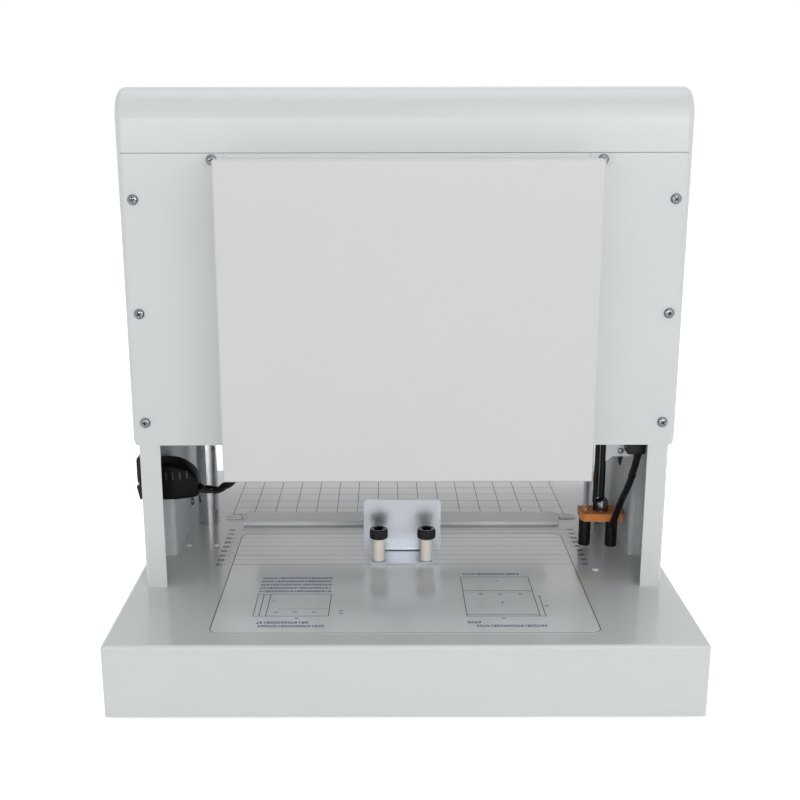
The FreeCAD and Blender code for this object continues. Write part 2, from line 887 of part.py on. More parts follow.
def beam():
    a = rack_arm_half
    arm = rack_pitch_y - gear_module
    r = beam_corner_r
    root = arm_root_r
    tip = arm_tip_r
    outline = [(beam_half_x, beam_far, r), (-beam_half_x, beam_far, r), (-beam_half_x, beam_near, r),
               (-rack_x - a, beam_near, root), (-rack_x - a, arm, tip), (-rack_x + a, arm, tip),
               (-rack_x + a, beam_near, root), (rack_x - a, beam_near, root), (rack_x - a, arm, tip),
               (rack_x + a, arm, tip), (rack_x + a, beam_near, root), (beam_half_x, beam_near, r)]
    solid = upright(outline, beam_z, beam_top)
    for side in (-1, 1):
        solid = solid.cut(rod(bush_r, V(side * column_x, column_y, beam_z - 1), Z, beam_height + 2))
        solid = solid.cut(rod(rod_r + slide_fit, V(side * rod_x, column_y, beam_z - 1), Z, beam_height + 2))
    for x in drill_xs:
        solid = solid.cut(rod(bearing_r, V(x, column_y, beam_z - 1), Z, beam_height + 2))
    put("press_beam", solid)

    bushes = []
    cans = []
    for side in (-1, 1):
        at = V(side * column_x, column_y, 0)
        bore = column_r + slide_fit
        low = beam_z - bush_below
        high = beam_top + bush_above
        bushes.append(turned([(bore, low), (bush_r, low), (bush_r, beam_top), (bush_flange_r, beam_top),
                              (bush_flange_r, beam_top + bush_flange_h), (bush_r, beam_top + bush_flange_h),
                              (bush_r, high), (bore, high)], at))
        at = V(side * rod_x, column_y, 0)
        cans.append(turned([(can_r - can_wall, beam_top), (can_r, beam_top), (can_r, can_top, 2),
                            (0, can_top), (0, can_top - can_wall),
                            (can_r - can_wall, can_top - can_wall)], at))
    put("beam_bushes", *bushes)
    put("spring_cans", *cans)

    motors = []
    rings = []
    for x in drill_xs:
        at = V(x, column_y, 0)
        top = motor_base_z + motor_height
        bore_top = spindle_top_z + motor_bore_past
        bore = spindle_r + 2 * free_gap
        motors.append(turned([(bearing_r, beam_top), (motor_neck_r, beam_top), (motor_neck_r, motor_base_z),
                              (motor_r, motor_base_z), (motor_r, top - motor_cap_h),
                              (motor_r - motor_cap_set, top), (0, top), (0, bore_top), (bore, bore_top),
                              (bore, cartridge_top), (bearing_r, cartridge_top)], at))
        rings.append(tube(bearing_r, spindle_r + slide_fit, V(x, column_y, cartridge_z), Z,
                          cartridge_top - cartridge_z))
    put("drill_motors", *motors)
    put("spindle_bearings", *rings)


def drills():
    for x, name in zip(drill_xs, ("left", "middle", "right")):
        at = V(x, column_y, 0)
        shank_top = spindle_nose_z + drill_shank
        spindle = turned([(drill_r, spindle_nose_z), (spindle_r, spindle_nose_z, 1),
                          (spindle_r, spindle_top_z), (spindle_bore_r, spindle_top_z),
                          (spindle_bore_r, shank_top), (drill_r, shank_top)], at)
        drill = turned([(drill_bore_r, drill_tip_z), (drill_r, drill_tip_z + drill_bevel),
                        (drill_r, shank_top), (drill_bore_r, shank_top)], at)
        put("drill_spindle_" + name, spindle, drill)


def pressure_foot():
    near = column_y - bar_depth / 2
    far = column_y + bar_depth / 2
    r = bar_depth / 4
    top = bar_z + bar_height
    bar = flat_plate(-bar_half_x, bar_half_x, near, far, bar_z, top, r)
    bar = bar.makeChamfer(bar_bevel, [e for e in bar.Edges if max(v.Z for v in e.Vertexes) < bar_z + 0.1])
    for x in drill_xs:
        bar = bar.cut(rod(bar_hole_r, V(x, column_y, bar_z - 1), Z, bar_height + 2))
    seat = beam_top + free_gap
    rods = []
    for side in (-1, 1):
        at = V(side * rod_x, column_y, 0)
        low = top - bar_height / 2
        bar = bar.cut(rod(rod_r, at + V(0, 0, low), Z, bar_height))
        rods.append(turned([(0, low), (rod_r, low), (rod_r, seat), (rod_collar_r, seat),
                            (rod_collar_r, seat + rod_collar_h, 1), (0, seat + rod_collar_h)], at))
    put("foot_bar", bar)
    put("foot_rods", *rods)


def gear(teeth, module, width):
    """Spur gear on the X axis with a tooth pointing along +Y, one arc to each involute flank."""
    r = module * teeth / 2
    tip = r + module
    root = r - 1.25 * module
    alpha = math.radians(pressure_angle)
    base_circle = r * math.cos(alpha)
    half_tooth = math.pi / (2 * teeth) - gear_backlash / (4 * r)

    def flank(radius):
        if radius <= base_circle:
            spread = 0.0
        else:
            psi = math.acos(base_circle / radius)
            spread = math.tan(psi) - psi
        return half_tooth + (math.tan(alpha) - alpha) - spread

    def at(radius, angle):
        return V(0, radius * math.cos(angle), radius * math.sin(angle))

    middle = (max(root, base_circle) + tip) / 2
    edges = []
    step = 2 * math.pi / teeth
    for k in range(teeth):
        c = k * step
        low = at(root, c - flank(root))
        high = at(tip, c - flank(tip))
        edges.append(Part.Arc(low, at(middle, c - flank(middle)), high).toShape())
        over = at(tip, c + flank(tip))
        edges.append(Part.LineSegment(high, over).toShape())
        down = at(root, c + flank(root))
        edges.append(Part.Arc(over, at(middle, c + flank(middle)), down).toShape())
        edges.append(Part.LineSegment(down, at(root, c + step - flank(root))).toShape())
    return Part.Face(Part.Wire(edges)).extrude(V(width, 0, 0))


def lift():
    pinions = []
    racks = []
    hub_side = gear_width / 2
    for side in (-1, 1):
        wheel = gear(pinion_teeth, gear_module, gear_width)
        wheel.translate(V(side * rack_x - gear_width / 2, shaft_y, shaft_z))
        hub_x = side * rack_x - hub_side - hub_width if side > 0 else side * rack_x + hub_side
        wheel = wheel.fuse(rod(hub_r, V(hub_x, shaft_y, shaft_z), X, hub_width))
        reach = gear_width + hub_width
        wheel = wheel.cut(rod(shaft_r, V(side * rack_x - reach, shaft_y, shaft_z), X, 2 * reach))
        pinions.append(wheel)
        racks.append(rack(side * rack_x))
    put("lift_pinions", *pinions)
    put("lift_racks", *racks)

    shaft = rod(shaft_r, V(-shaft_end, shaft_y, shaft_z), X, 2 * shaft_end)
    shaft = shaft.makeChamfer(shaft_bevel, [e for e in shaft.Edges if len(e.Vertexes) == 1])
    put("lift_shaft", shaft)

    bearings = []
    for side in (-1, 1):
        inner_x = side * (frame_inner - shaft_bearing_flange)
        seat = rod(shaft_bearing_r, V(side * frame_inner, shaft_y, shaft_z), X * side, frame_sheet)
        flange = rod(shaft_bearing_flange_r, V(inner_x, shaft_y, shaft_z), X * side, shaft_bearing_flange)
        block = seat.fuse(flange)
        block = block.cut(rod(shaft_r + slide_fit, V(inner_x - side * cut_past, shaft_y, shaft_z), X * side,
                              4 * cut_past))
        bearings.append(block)
    put("shaft_bearings", *bearings)

    h = gearbox_half
    low = shaft_z - gearbox_drop
    high = low + gearbox_height
    near = shaft_y - h
    far = shaft_y + h
    housing = box(-h, h, near, far, low, high)
    housing = housing.makeChamfer(gearbox_bevel, [e for e in housing.Edges
                                                  if abs(e.Vertexes[0].X - e.Vertexes[1].X) > 1])
    for side in (-1, 1):
        boss = rod(shaft_r + gearbox_boss_wall, V(side * h, shaft_y, shaft_z), X * side, gearbox_boss)
        housing = housing.fuse(boss)
    reach = h + 2 * gearbox_boss
    housing = housing.cut(rod(shaft_r + slide_fit, V(-reach, shaft_y, shaft_z), X, 2 * reach))
    put("lift_gearbox", housing)
    worm_z = shaft_z + worm_rise
    motor = rod(lift_motor_r, V(0, near, worm_z), Y * -1, lift_motor_length)
    motor = motor.makeChamfer(lift_motor_bevel, [e for e in motor.Edges if len(e.Vertexes) == 1 and
                                                 e.Vertexes[0].Y < near - 1])
    flange = box(-lift_motor_r, lift_motor_r, near - motor_flange, near, worm_z - lift_motor_r,
                 worm_z + lift_motor_r)
    put("lift_motor", motor.fuse(flange))


def rack(x):
    """Upright rack on the beam's arm, teeth towards the shaft and in mesh at rest."""
    m = gear_module
    slant = math.tan(math.radians(pressure_angle))
    half = tooth_pitch / 4 - gear_backlash / 4
    low = shaft_z - rack_below
    top = shaft_z + beam_travel + rack_past
    tip_y = rack_pitch_y - m
    root_y = rack_pitch_y + 1.25 * m
    back_y = root_y + rack_back
    count_low = int(math.ceil((low - shaft_z) / tooth_pitch - 0.5))
    count_high = int(math.floor((top - shaft_z) / tooth_pitch - 1.5))
    outline = [(back_y, beam_top), (back_y, top), (root_y, top)]
    for k in range(count_high, count_low - 1, -1):
        z = shaft_z + (k + 0.5) * tooth_pitch
        at_root = half + 1.25 * m * slant
        at_tip = half - m * slant
        outline += [(root_y, z + at_root), (tip_y, z + at_tip), (tip_y, z - at_tip), (root_y, z - at_root)]
    outline += [(root_y, beam_top)]
    bar = across(outline, x - gear_width / 2, x + gear_width / 2)
    foot = box(x - rack_arm_half, x + rack_arm_half, root_y, back_y, beam_top, beam_top + rack_foot)
    return bar.fuse(foot).removeSplitter()


def back_stop():
    low = stop_low
    top = low + stop_height
    w = stop_width / 2
    near = stop_y - stop_foot_depth
    section = folded([(near, low), (stop_y + stop_sheet, low), (stop_y + stop_sheet, top)],
                     stop_sheet, stop_bend_r)
    bracket = across(section, -w, w)
    face = along([(-w, low - 1), (w, low - 1), (w, top, stop_corner_r), (-w, top, stop_corner_r)],
                 near - 5, stop_y + 10)
    bracket = bracket.common(face)
    fw = stop_foot_width / 2
    bend = low + stop_sheet + stop_bend_r
    for side in (-1, 1):
        x0, x1 = sorted((side * fw, side * (w + 5)))
        bracket = bracket.cut(box(x0, x1, near - 5, stop_y + stop_sheet + 5, low - 1, bend))
        x0, x1 = sorted((side * (fw - stop_relief / 2), side * fw))
        bracket = bracket.cut(box(x0, x1, stop_y - 4, stop_y + stop_sheet + 5, low - 1, bend + 2))
        bracket = bracket.cut(rod(knob_stem_r + slide_fit, V(side * post_x, post_y, low - 1), Z, 10))
    put("stop_bracket", bracket)
    seat = low + stop_sheet
    sleeves = []
    for side, name in ((-1, "left"), (1, "right")):
        at = V(side * post_x, post_y, 0)
        sleeves.append(tube(sleeve_r, knob_stem_r + free_gap, at + V(0, 0, seat), Z, sleeve_height))
        head_low = seat + sleeve_height + free_gap
        head_top_z = head_low + knob_height
        cap = turned([(0, head_low), (knob_r, head_low, knob_low_bevel),
                      (knob_r, head_top_z, knob_top_bevel), (0, head_top_z)], at)
        for k in range(knob_flutes):
            turn = 360 * k / knob_flutes
            groove = box(-knob_flute, knob_flute, -knob_flute, knob_flute, head_low - 1, head_top_z + 1)
            groove.rotate(V(0, 0, 0), Z, 45)
            groove.translate(V(knob_r, 0, 0))
            groove.rotate(V(0, 0, 0), Z, turn)
            groove.translate(at)
            cap = cap.cut(groove)
        recess = head_top_z - knob_recess_depth
        cap = cap.cut(hexagon(knob_recess, at.x, at.y, recess, head_top_z + 1))
        stem = rod(knob_stem_r, at + V(0, 0, low), Z, head_low - low)
        put("stop_knob_" + name, cap.fuse(stem))
    put("stop_sleeves", *sleeves)


def lamps():
    x0 = bay_x - lamp_plate_width
    y0 = lamp_plate_y0
    y1 = lamp_plate_y1
    low = lamp_plate_z
    top = low + lamp_plate_h
    plate = upright([(x0 + lamp_corner, y0), (bay_x, y0, 1), (bay_x, y1, 1), (x0, y1, 1),
                     (x0, y0 + lamp_corner_y)], low, top)
    plate = plate.cut(rod(hanger_screw_r, V(hanger_x, hanger_y, low - 1), Z, lamp_plate_h + 2))
    put("lamp_plate", plate)
    r = lamp_r
    g = lamp_r - lamp_groove
    made = []
    for at, height in zip((lamp_left, lamp_right), lamp_heights):
        foot = low - height
        middle = low - height / 2
        below = middle - lamp_groove_h / 2
        above = middle + lamp_groove_h / 2
        made.append(turned([(lamp_lens_r, foot), (r, foot), (r, below), (g, below), (g, above), (r, above),
                            (r, low), (0, low), (0, foot + 2), (lamp_lens_r, foot + 2)], at))
    put("lamp_modules", *made)

    at = V(hanger_x, hanger_y, 0)
    nut_top = top + dome_h
    stud_low = low - nylon_h - 2
    nut = turned([(0, stud_low), (hanger_screw_r, stud_low), (hanger_screw_r, top),
                  (dome_r, top, dome_foot_bevel), (dome_r, nut_top - dome_shoulder, dome_shoulder_bevel),
                  (dome_r - dome_crown, nut_top), (0, nut_top)], at)
    put("dome_nut", nut)
    nylon = hexagon(nylon_flats, at.x, at.y, low - nylon_h, low)
    put("nylon_nut", nylon.cut(rod(hanger_screw_r, V(at.x, at.y, low - nylon_h), Z, nylon_h)))
    brass_at = lamp_left + V(0, -brass_nearer, 0)
    step = top + brass_h * 0.6
    put("brass_cap", turned([(0, top), (brass_r, top), (brass_r, step, 0.3), (brass_r * 0.7, step),
                             (brass_r * 0.7, top + brass_h, 0.5), (0, top + brass_h)], brass_at))
    seat_half = hanger_seat_half_y
    seat = box(hanger_x - dome_r - 2, frame_inner, hanger_y - seat_half, hanger_y + seat_half,
               hanger_seat_z, hanger_seat_z + hanger_seat_h)
    seat = seat.makeFillet(3, [e for e in seat.Edges if abs(e.Vertexes[0].Z - e.Vertexes[1].Z) > 1 and
                               e.Vertexes[0].X < hanger_x])
    posts = [rod(r, at + V(dx, 0, top), Z, hanger_seat_z - top) for dx, r in hanger_rods]
    put("lamp_hanger", seat.fuse(posts).cut(nut))


def terminal():
    y = bracket_y
    s = bracket_sheet
    outline = [(bracket_x0, bracket_low - bracket_tip), (bracket_x0 + 6, bracket_low),
               (bay_x, bracket_low), (bay_x, bracket_high), (bracket_x0, bracket_high)]
    plate = along(outline, y, y + s)
    inside = head_rear + head_sheet
    edge = side_outer - side_flange - 1
    shelf = box(bracket_x0, edge, inside, y + s, bracket_high - s, bracket_high)
    hem = box(bracket_x0, edge, inside, inside + s, bracket_high - bracket_hem, bracket_high)
    bracket = plate.fuse([shelf, hem]).removeSplitter()
    hole = rod(pan_shank_r * small_screw + screw_gap, bracket_screw + V(0, y - 1, 0), Y, 5)
    put("terminal_bracket", bracket.cut(hole))
    high = block_low + block_height
    block = box(block_x0, bay_x, y - block_depth, y, block_low, high)
    block = block.makeChamfer(1, [e for e in block.Edges if min(v.Y for v in e.Vertexes) < y - 1])
    at = V(bracket_screw.x, y + s / 2, 0)
    seal = turned([(0, bracket_low - seal_length), (seal_r * 0.3, bracket_low - seal_length),
                   (seal_r, bracket_low), (0, bracket_low)], at)
    put("terminal_block", block, seal)


def inlet_opening():
    """The hole that the inlet's body fills in the side cover."""
    y = inlet_width / 2 - inlet_wall
    z = inlet_height / 2 - inlet_wall
    return box(-side_outer - 1, -side_inner + 1, inlet_y - y, inlet_y + y, inlet_z - z, inlet_z + z)


def power_inlet():
    wall = inlet_wall
    y = inlet_width / 2
    z = inlet_height / 2
    outer = -side_outer
    back = -side_inner + inlet_inside
    flange = box(outer - inlet_flange, outer, inlet_y - y, inlet_y + y, inlet_z - z, inlet_z + z)
    body = box(outer, back, inlet_y - y + wall, inlet_y + y - wall, inlet_z - z + wall, inlet_z + z - wall)
    w = inlet_shroud_width / 2
    x0 = outer - inlet_proud
    shroud = box(x0, outer, inlet_y - w, inlet_y + w,
                 inlet_z + inlet_shroud_low, inlet_z + inlet_shroud_high)
    shroud = shroud.makeChamfer(1, [e for e in shroud.Edges if max(v.X for v in e.Vertexes) < x0 + 0.1])
    half = rocker_r + free_gap
    w = rocker_width / 2 + free_gap
    bezel = box(outer - inlet_bezel, outer, inlet_y - w - wall, inlet_y + w + wall,
                inlet_z - z + wall / 2, inlet_z + inlet_shroud_low)
    shell = flange.fuse([body, shroud, bezel])
    sy = socket_width / 2
    sz = socket_height / 2
    centre = inlet_z + socket_rise
    socket = [(inlet_y - sy, centre - sz, 1), (inlet_y + sy, centre - sz, 1),
              (inlet_y + sy, centre + sz / 3), (inlet_y + sy / 2, centre + sz),
              (inlet_y - sy / 2, centre + sz), (inlet_y - sy, centre + sz / 3)]
    shell = shell.cut(across(socket, x0 - 1, back - 2))
    well = box(x0 - 1, back - 1.2, inlet_y - w, inlet_y + w, pivot_z - half, pivot_z + half)
    shell = shell.cut(well)
    pins = []
    for dy, dz in pin_places:
        root = V(back - 2, inlet_y + dy, centre + dz)
        pins.append(rod(pin_r, root, X * -1, inlet_inside + inlet_proud / 2))
    put("power_inlet", shell.fuse(pins))

    pivot = V(outer - rocker_out, inlet_y, pivot_z)
    disc = rod(rocker_r, V(pivot.x, inlet_y - rocker_width / 2, pivot_z), Y, rocker_width)
    reach = rocker_r + 2
    lean = reach * math.tan(math.radians(rocker_tilt))
    keep = [(rocker_back, -reach), (rocker_back, reach), (-rocker_face - lean, reach), (-rocker_face, 0),
            (-rocker_face - lean, -reach)]
    wedge = along(keep, -rocker_width, rocker_width)
    wedge.rotate(V(0, 0, 0), Y, -rocker_tilt)
    wedge.translate(pivot)
    put("power_rocker", disc.common(wedge))


def boot():
    """Insulating boot: side view, plan and end view crossed, hollow around the inlet's body."""
    x0 = -side_inner
    x1 = x0 + boot_flat
    x2 = x0 + boot_reach
    low = boot_low
    high = low + boot_height
    w = boot_width / 2
    n = boot_nose_width / 2
    c = boot_corner
    near = inlet_y - w
    far = inlet_y + w
    side = along([(x0, low), (x2, low), (x2, low + boot_nose_height, boot_nose_r),
                  (x1, high, boot_shoulder_r), (x0, high)], near, far)
    plan = upright([(x0, near), (x1, near), (x2, inlet_y - n), (x2, inlet_y + n), (x1, far), (x0, far)],
                   low, high)
    end = across(broken([(near, low, c), (far, low, c), (far, high, c), (near, high, c)]), x0, x2)
    solid = side.common(plan).common(end)
    y = inlet_width / 2 - inlet_wall
    z = inlet_height / 2 - inlet_wall
    body = box(x0 - 1, x0 + inlet_inside, inlet_y - y, inlet_y + y, inlet_z - z, inlet_z + z)
    rib_low = low + boot_rib_lift
    for k in range(boot_ribs):
        x = x0 + boot_rib_first + k * boot_rib_pitch
        share = max(0.0, (x - x1) / (x2 - x1))
        w = boot_width / 2 + (boot_nose_width - boot_width) / 2 * share + boot_rib_proud
        solid = solid.fuse(box(x, x + boot_rib_width, inlet_y - w, inlet_y + w,
                               rib_low, rib_low + boot_rib_height))
    put("inlet_boot", solid.cut(body))


def operator_panel():
    plate = flat_plate(-keypad_half_x, keypad_half_x, keypad_low, keypad_high,
                       0, keypad_sheet, keypad_corner_r)
    plate = plate.cut(window_plate(-cut_past, cut_past))
    keys = []
    for place in key_places():
        plate = plate.cut(key_block(place, free_gap, -1, cut_past))
        seat = -head_sheet - free_gap
        top = keypad_sheet + key_proud
        key = key_block(place, 0, seat, top)
        upper = [e for e in key.Edges if min(v.Z for v in e.Vertexes) > top - 0.01]
        key = key.makeChamfer(key_bevel, upper)
        keys.append(key.fuse(key_block(place, key_flange, seat - key_flange, seat)))
    put("keypad", on_slope(plate))
    put("display_window", on_slope(window_plate(keypad_sheet - window_glass, keypad_sheet)))
    for k, name in enumerate(("key_a", "key_b", "key_c", "start_key")):
        put(name, on_slope(keys[k]))
    d = board_depth
    m = board_margin
    board = flat_plate(-keypad_half_x, keypad_half_x, keypad_low + m, keypad_high - m,
                       -d - board_sheet, -d, board_corner)
    w = window_half_x + m
    display = box(window_x - w, window_x + w, window_low - m, window_high + m, -d, -head_sheet)
    switches = []
    for x, y, half in key_places():
        reach = -head_sheet - free_gap - key_flange - key_travel - free_gap
        switches.append(box(x - switch_half, x + switch_half, y - switch_half, y + switch_half, -d, reach))
    posts = []
    for x in (-keypad_half_x + board_post_x, keypad_half_x - board_post_x):
        for y in (keypad_low + board_post_y, keypad_high - board_post_y):
            posts.append(rod(board_post_r, V(x, y, -d), Z, d - head_sheet))
    put("control_board", on_slope(board.fuse([display] + switches + posts)))


def supply():
    """Power supply on the rear panel's inner face, with a finned side."""
    y0 = head_rear + head_sheet
    case = box(supply_x0, supply_x1, y0, y0 + supply_depth, supply_low, supply_high)
    step = (supply_high - supply_low) / supply_fins
    for k in range(supply_fins):
        z = supply_low + (k + 0.25) * step
        case = case.cut(box(supply_x1 - supply_fin_depth, supply_x1 + 1, y0 + supply_rim,
                            y0 + supply_depth - supply_rim, z, z + step / 2))
    put("power_supply", case)


def loom(name, route, r, ends):
    """Round cable along straight runs joined by tangent arcs, cut off where it meets its ends."""
    edges = []
    radii = []
    here = route[0]
    for i in range(1, len(route) - 1):
        p = route[i]
        a = route[i - 1] - p
        b = route[i + 1] - p
        half_turn = (math.pi - a.getAngle(b)) / 2
        cut = 0.45 * min(a.Length, b.Length)
        bend = cut / math.tan(half_turn)
        radii.append(round(bend, 1))
        a.normalize()
        b.normalize()
        half = math.pi / 2 - half_turn
        bulge = p + (a + b).normalize() * (bend / math.sin(half) - bend)
        edges.append(Part.LineSegment(here, p + a * cut).toShape())
        edges.append(Part.Arc(p + a * cut, bulge, p + b * cut).toShape())
        here = p + b * cut
    edges.append(Part.LineSegment(here, route[-1]).toShape())
    path = Part.Wire(edges)
    section = Part.Wire([Part.Circle(route[0], route[1] - route[0], r).toShape()])
    solid = path.makePipeShell([section], True, False)
    print(name, "length", round(path.Length, 1), "radii", radii, "volume ratio",
          round(solid.Volume / (math.pi * r ** 2 * path.Length), 4))
    for end in ends:
        solid = solid.cut(parts[end])
    put(name, solid)


def save():
    os.makedirs("parts", exist_ok=True)
    for name, shape in parts.items():
        shape.exportStep("parts/" + name + ".step")


base()
table_furniture()
head_shell()
drive_cover()
screws()
sides()
columns()
beam()
drills()
pressure_foot()
lift()
back_stop()
lamps()
terminal()
power_inlet()
boot()
operator_panel()
supply()
lamp_loom_ends = ("terminal_block", "terminal_bracket", "lamp_modules", "lamp_plate")
loom("lamp_loom", lamp_loom_route, lamp_loom_r, lamp_loom_ends)
loom("inlet_loom", inlet_loom_route, inlet_loom_r, ("inlet_boot", "power_supply"))
save()
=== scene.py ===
import json
import math

import bmesh
import bpy
from bpy.props import FloatProperty, FloatVectorProperty, IntProperty, PointerProperty
from mathutils import Matrix, Vector


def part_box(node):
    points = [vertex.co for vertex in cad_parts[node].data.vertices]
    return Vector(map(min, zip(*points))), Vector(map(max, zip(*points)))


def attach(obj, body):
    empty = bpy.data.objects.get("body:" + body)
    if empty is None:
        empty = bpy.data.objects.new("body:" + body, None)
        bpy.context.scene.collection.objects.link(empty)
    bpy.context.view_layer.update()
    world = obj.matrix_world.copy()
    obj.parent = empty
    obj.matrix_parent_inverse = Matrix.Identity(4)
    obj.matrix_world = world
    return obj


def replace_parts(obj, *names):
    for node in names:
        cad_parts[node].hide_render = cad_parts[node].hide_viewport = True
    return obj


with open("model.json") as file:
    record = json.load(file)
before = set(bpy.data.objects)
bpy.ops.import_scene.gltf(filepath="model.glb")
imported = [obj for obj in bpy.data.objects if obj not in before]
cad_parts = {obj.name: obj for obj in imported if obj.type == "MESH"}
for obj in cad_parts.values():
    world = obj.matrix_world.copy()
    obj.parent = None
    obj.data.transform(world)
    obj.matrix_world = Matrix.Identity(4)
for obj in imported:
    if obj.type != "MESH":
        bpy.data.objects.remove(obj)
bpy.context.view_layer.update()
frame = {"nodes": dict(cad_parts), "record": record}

bl_info = {
    "name": "Document riveting machine",
    "version": (1, 0, 0),
    "blender": (4, 5, 0),
    "location": "View3D > Sidebar > Riveter",
    "description": "Finishes, fine pieces, wiring and studio for a document drilling and riveting machine",
    "category": "Object",
}

MM = 0.001
table_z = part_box("base_cover")[1].z
film_low, film_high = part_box("table_film")
strip_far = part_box("pad_strip")[1].y
plate_low, plate_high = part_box("lamp_plate")

SENSOR_WIDTH = 36  # millimetres
ON_AXIS = 1e-7  # a radius below this is a point on the axis
SQUARE = ((-1, -1), (1, -1), (1, 1), (-1, 1))  # corners in order

# The looms' routes, in metres, the same points as in the part's source.
LAMP_ROUTE = [(0.2170, -0.0990, 0.1930), (0.2158, -0.0890, 0.1715), (0.2158, -0.0690, 0.1485),
              (0.2146, -0.0460, 0.1260), (0.2101, -0.0338, 0.0960)]
INLET_ROUTE = [(-0.1945, -0.0750, 0.1520), (-0.1810, -0.0775, 0.1485), (-0.1680, -0.0860, 0.1560),
               (-0.1520, -0.1040, 0.1720), (-0.1420, -0.1110, 0.1930), (-0.1390, -0.1120, 0.2150)]

# Lamps under the plate, in millimetres: x, y and height.
LAMPS = ((185.5, -20.0, 27.6), (210.5, -29.0, 25.4))


def linear(code):
    """Linear colour for an sRGB hex value such as C8CDCF."""
    parts = [int(code[k:k + 2], 16) / 255 for k in (0, 2, 4)]
    return tuple(c / 12.92 if c <= 0.04045 else ((c + 0.055) / 1.055) ** 2.4 for c in parts) + (1.0,)


def put(name, data):
    """A new object in the scene."""
    made = bpy.data.objects.new(name, data)
    bpy.context.scene.collection.objects.link(made)
    return made


class RiveterStudio(bpy.types.PropertyGroup):
    camera_place: FloatVectorProperty(
        name="Camera place", description="Where the camera stands", size=3, subtype="TRANSLATION",
        unit="LENGTH", default=(-0.016, -1.067, 0.4845))
    camera_tilt: FloatProperty(
        name="Camera tilt", description="Angle between straight down and the line of sight",
        subtype="ANGLE", default=math.radians(76))
    camera_roll: FloatProperty(
        name="Camera roll", description="Turn about the line of sight", subtype="ANGLE",
        default=math.radians(-0.1))
    focal_length: FloatProperty(
        name="Focal length", description="Lens on a 36 mm wide sensor", unit="CAMERA", default=49.23)
    frame_shift: FloatProperty(
        name="Frame shift", description="Sideways shift of the frame, in picture widths", default=0.0175)
    key_power: FloatProperty(
        name="Key power", description="Large soft lamp above the camera, to its right", unit="POWER",
        default=8.0)
    long_power: FloatProperty(
        name="Long power", description="Long thin lamp in front, a little higher than the head",
        unit="POWER", default=19.0)
    fill_power: FloatProperty(
        name="Fill power", description="Soft lamps at both sides", unit="POWER", default=2.5)
    top_power: FloatProperty(
        name="Top power", description="Soft lamp over the machine", unit="POWER", default=10.0)
    back_power: FloatProperty(
        name="Operator power", description="Soft lamp on the operator's side", unit="POWER", default=2.0)


class RiveterFinish(bpy.types.PropertyGroup):
    powder_grey: FloatVectorProperty(
        name="Powder grey", description="Paint of the head, sides and base", size=4, subtype="COLOR",
        default=linear("CDD1D2"))
    cover_grey: FloatVectorProperty(
        name="Cover grey", description="Paint of the drive cover", size=4, subtype="COLOR",
        default=linear("CACACD"))
    ink: FloatVectorProperty(
        name="Ink", description="Lines of the table's print", size=4, subtype="COLOR",
        default=linear("333B42"))
    blue_ink: FloatVectorProperty(
        name="Blue ink", description="Figures of the table's print", size=4, subtype="COLOR",
        default=linear("24477C"))


class RiveterPrint(bpy.types.PropertyGroup):
    line_width: FloatProperty(
        name="Line width", description="Width of a printed line", unit="LENGTH", default=0.75 * MM)
    ruled_pitch: FloatProperty(
        name="Ruled pitch", description="Distance between the ruled lines", unit="LENGTH",
        default=11.9 * MM)
    grid_pitch: FloatProperty(
        name="Grid pitch", description="Squares on the operator's half of the table", unit="LENGTH",
        default=22.8 * MM)
    digit_height: FloatProperty(
        name="Digit height", description="Height of the numbers beside the lines", unit="LENGTH",
        default=4.6 * MM)


class RiveterGauge(bpy.types.PropertyGroup):
    knurls: IntProperty(
        name="Knurls", description="Ridges round a knob", default=44, min=12)
    knurl_depth: FloatProperty(
        name="Knurl depth", description="Depth between two ridges", unit="LENGTH", default=0.28 * MM)
    groove_pitch: FloatProperty(
        name="Groove pitch", description="Distance between the grooves of a sleeve", unit="LENGTH",
        default=1.5 * MM)


class RiveterWiring(bpy.types.PropertyGroup):
    cable_radius: FloatProperty(
        name="Cable radius", description="Radius of the lamp cable", unit="LENGTH", default=3.3 * MM)
    bundle_radius: FloatProperty(
        name="Bundle radius", description="Radius of the twisted wires at the inlet", unit="LENGTH",
        default=3.7 * MM)
    strands: IntProperty(
        name="Strands", description="Wires twisted together at the inlet", default=3, min=2)
    lay_length: FloatProperty(
        name="Lay length", description="Length of one turn of the twist", unit="LENGTH", default=46 * MM)


GROUPS = {"riveter_studio": RiveterStudio, "riveter_finish": RiveterFinish, "riveter_print": RiveterPrint,
          "riveter_gauge": RiveterGauge, "riveter_wiring": RiveterWiring}


# Materials

def add(tree, kind, inputs=None, **settings):
    """Adds a node, sets its fields, and fills its sockets with values or with other nodes' outputs."""
    made = tree.nodes.new(kind)
    for field, value in settings.items():
        setattr(made, field, value)
    for socket, value in (inputs or {}).items():
        if isinstance(value, bpy.types.NodeSocket):
            tree.links.new(value, made.inputs[socket])
        else:
            made.inputs[socket].default_value = value
    return made


def begin(name, **surface):
    """A new material, its tree, its shader with the plain values, and the place on the piece in metres."""
    made = bpy.data.materials.new(name)
    made.use_nodes = True
    tree = made.node_tree
    shader = tree.nodes["Principled BSDF"]
    for socket, value in surface.items():
        shader.inputs[socket.replace("_", " ")].default_value = value
    place = add(tree, "ShaderNodeTexCoord").outputs["Object"]
    return made, tree, shader, place


def per_metre(size_mm):
    """Scale of a pattern whose marks are that far apart."""
    return 1.0 / (size_mm * MM)


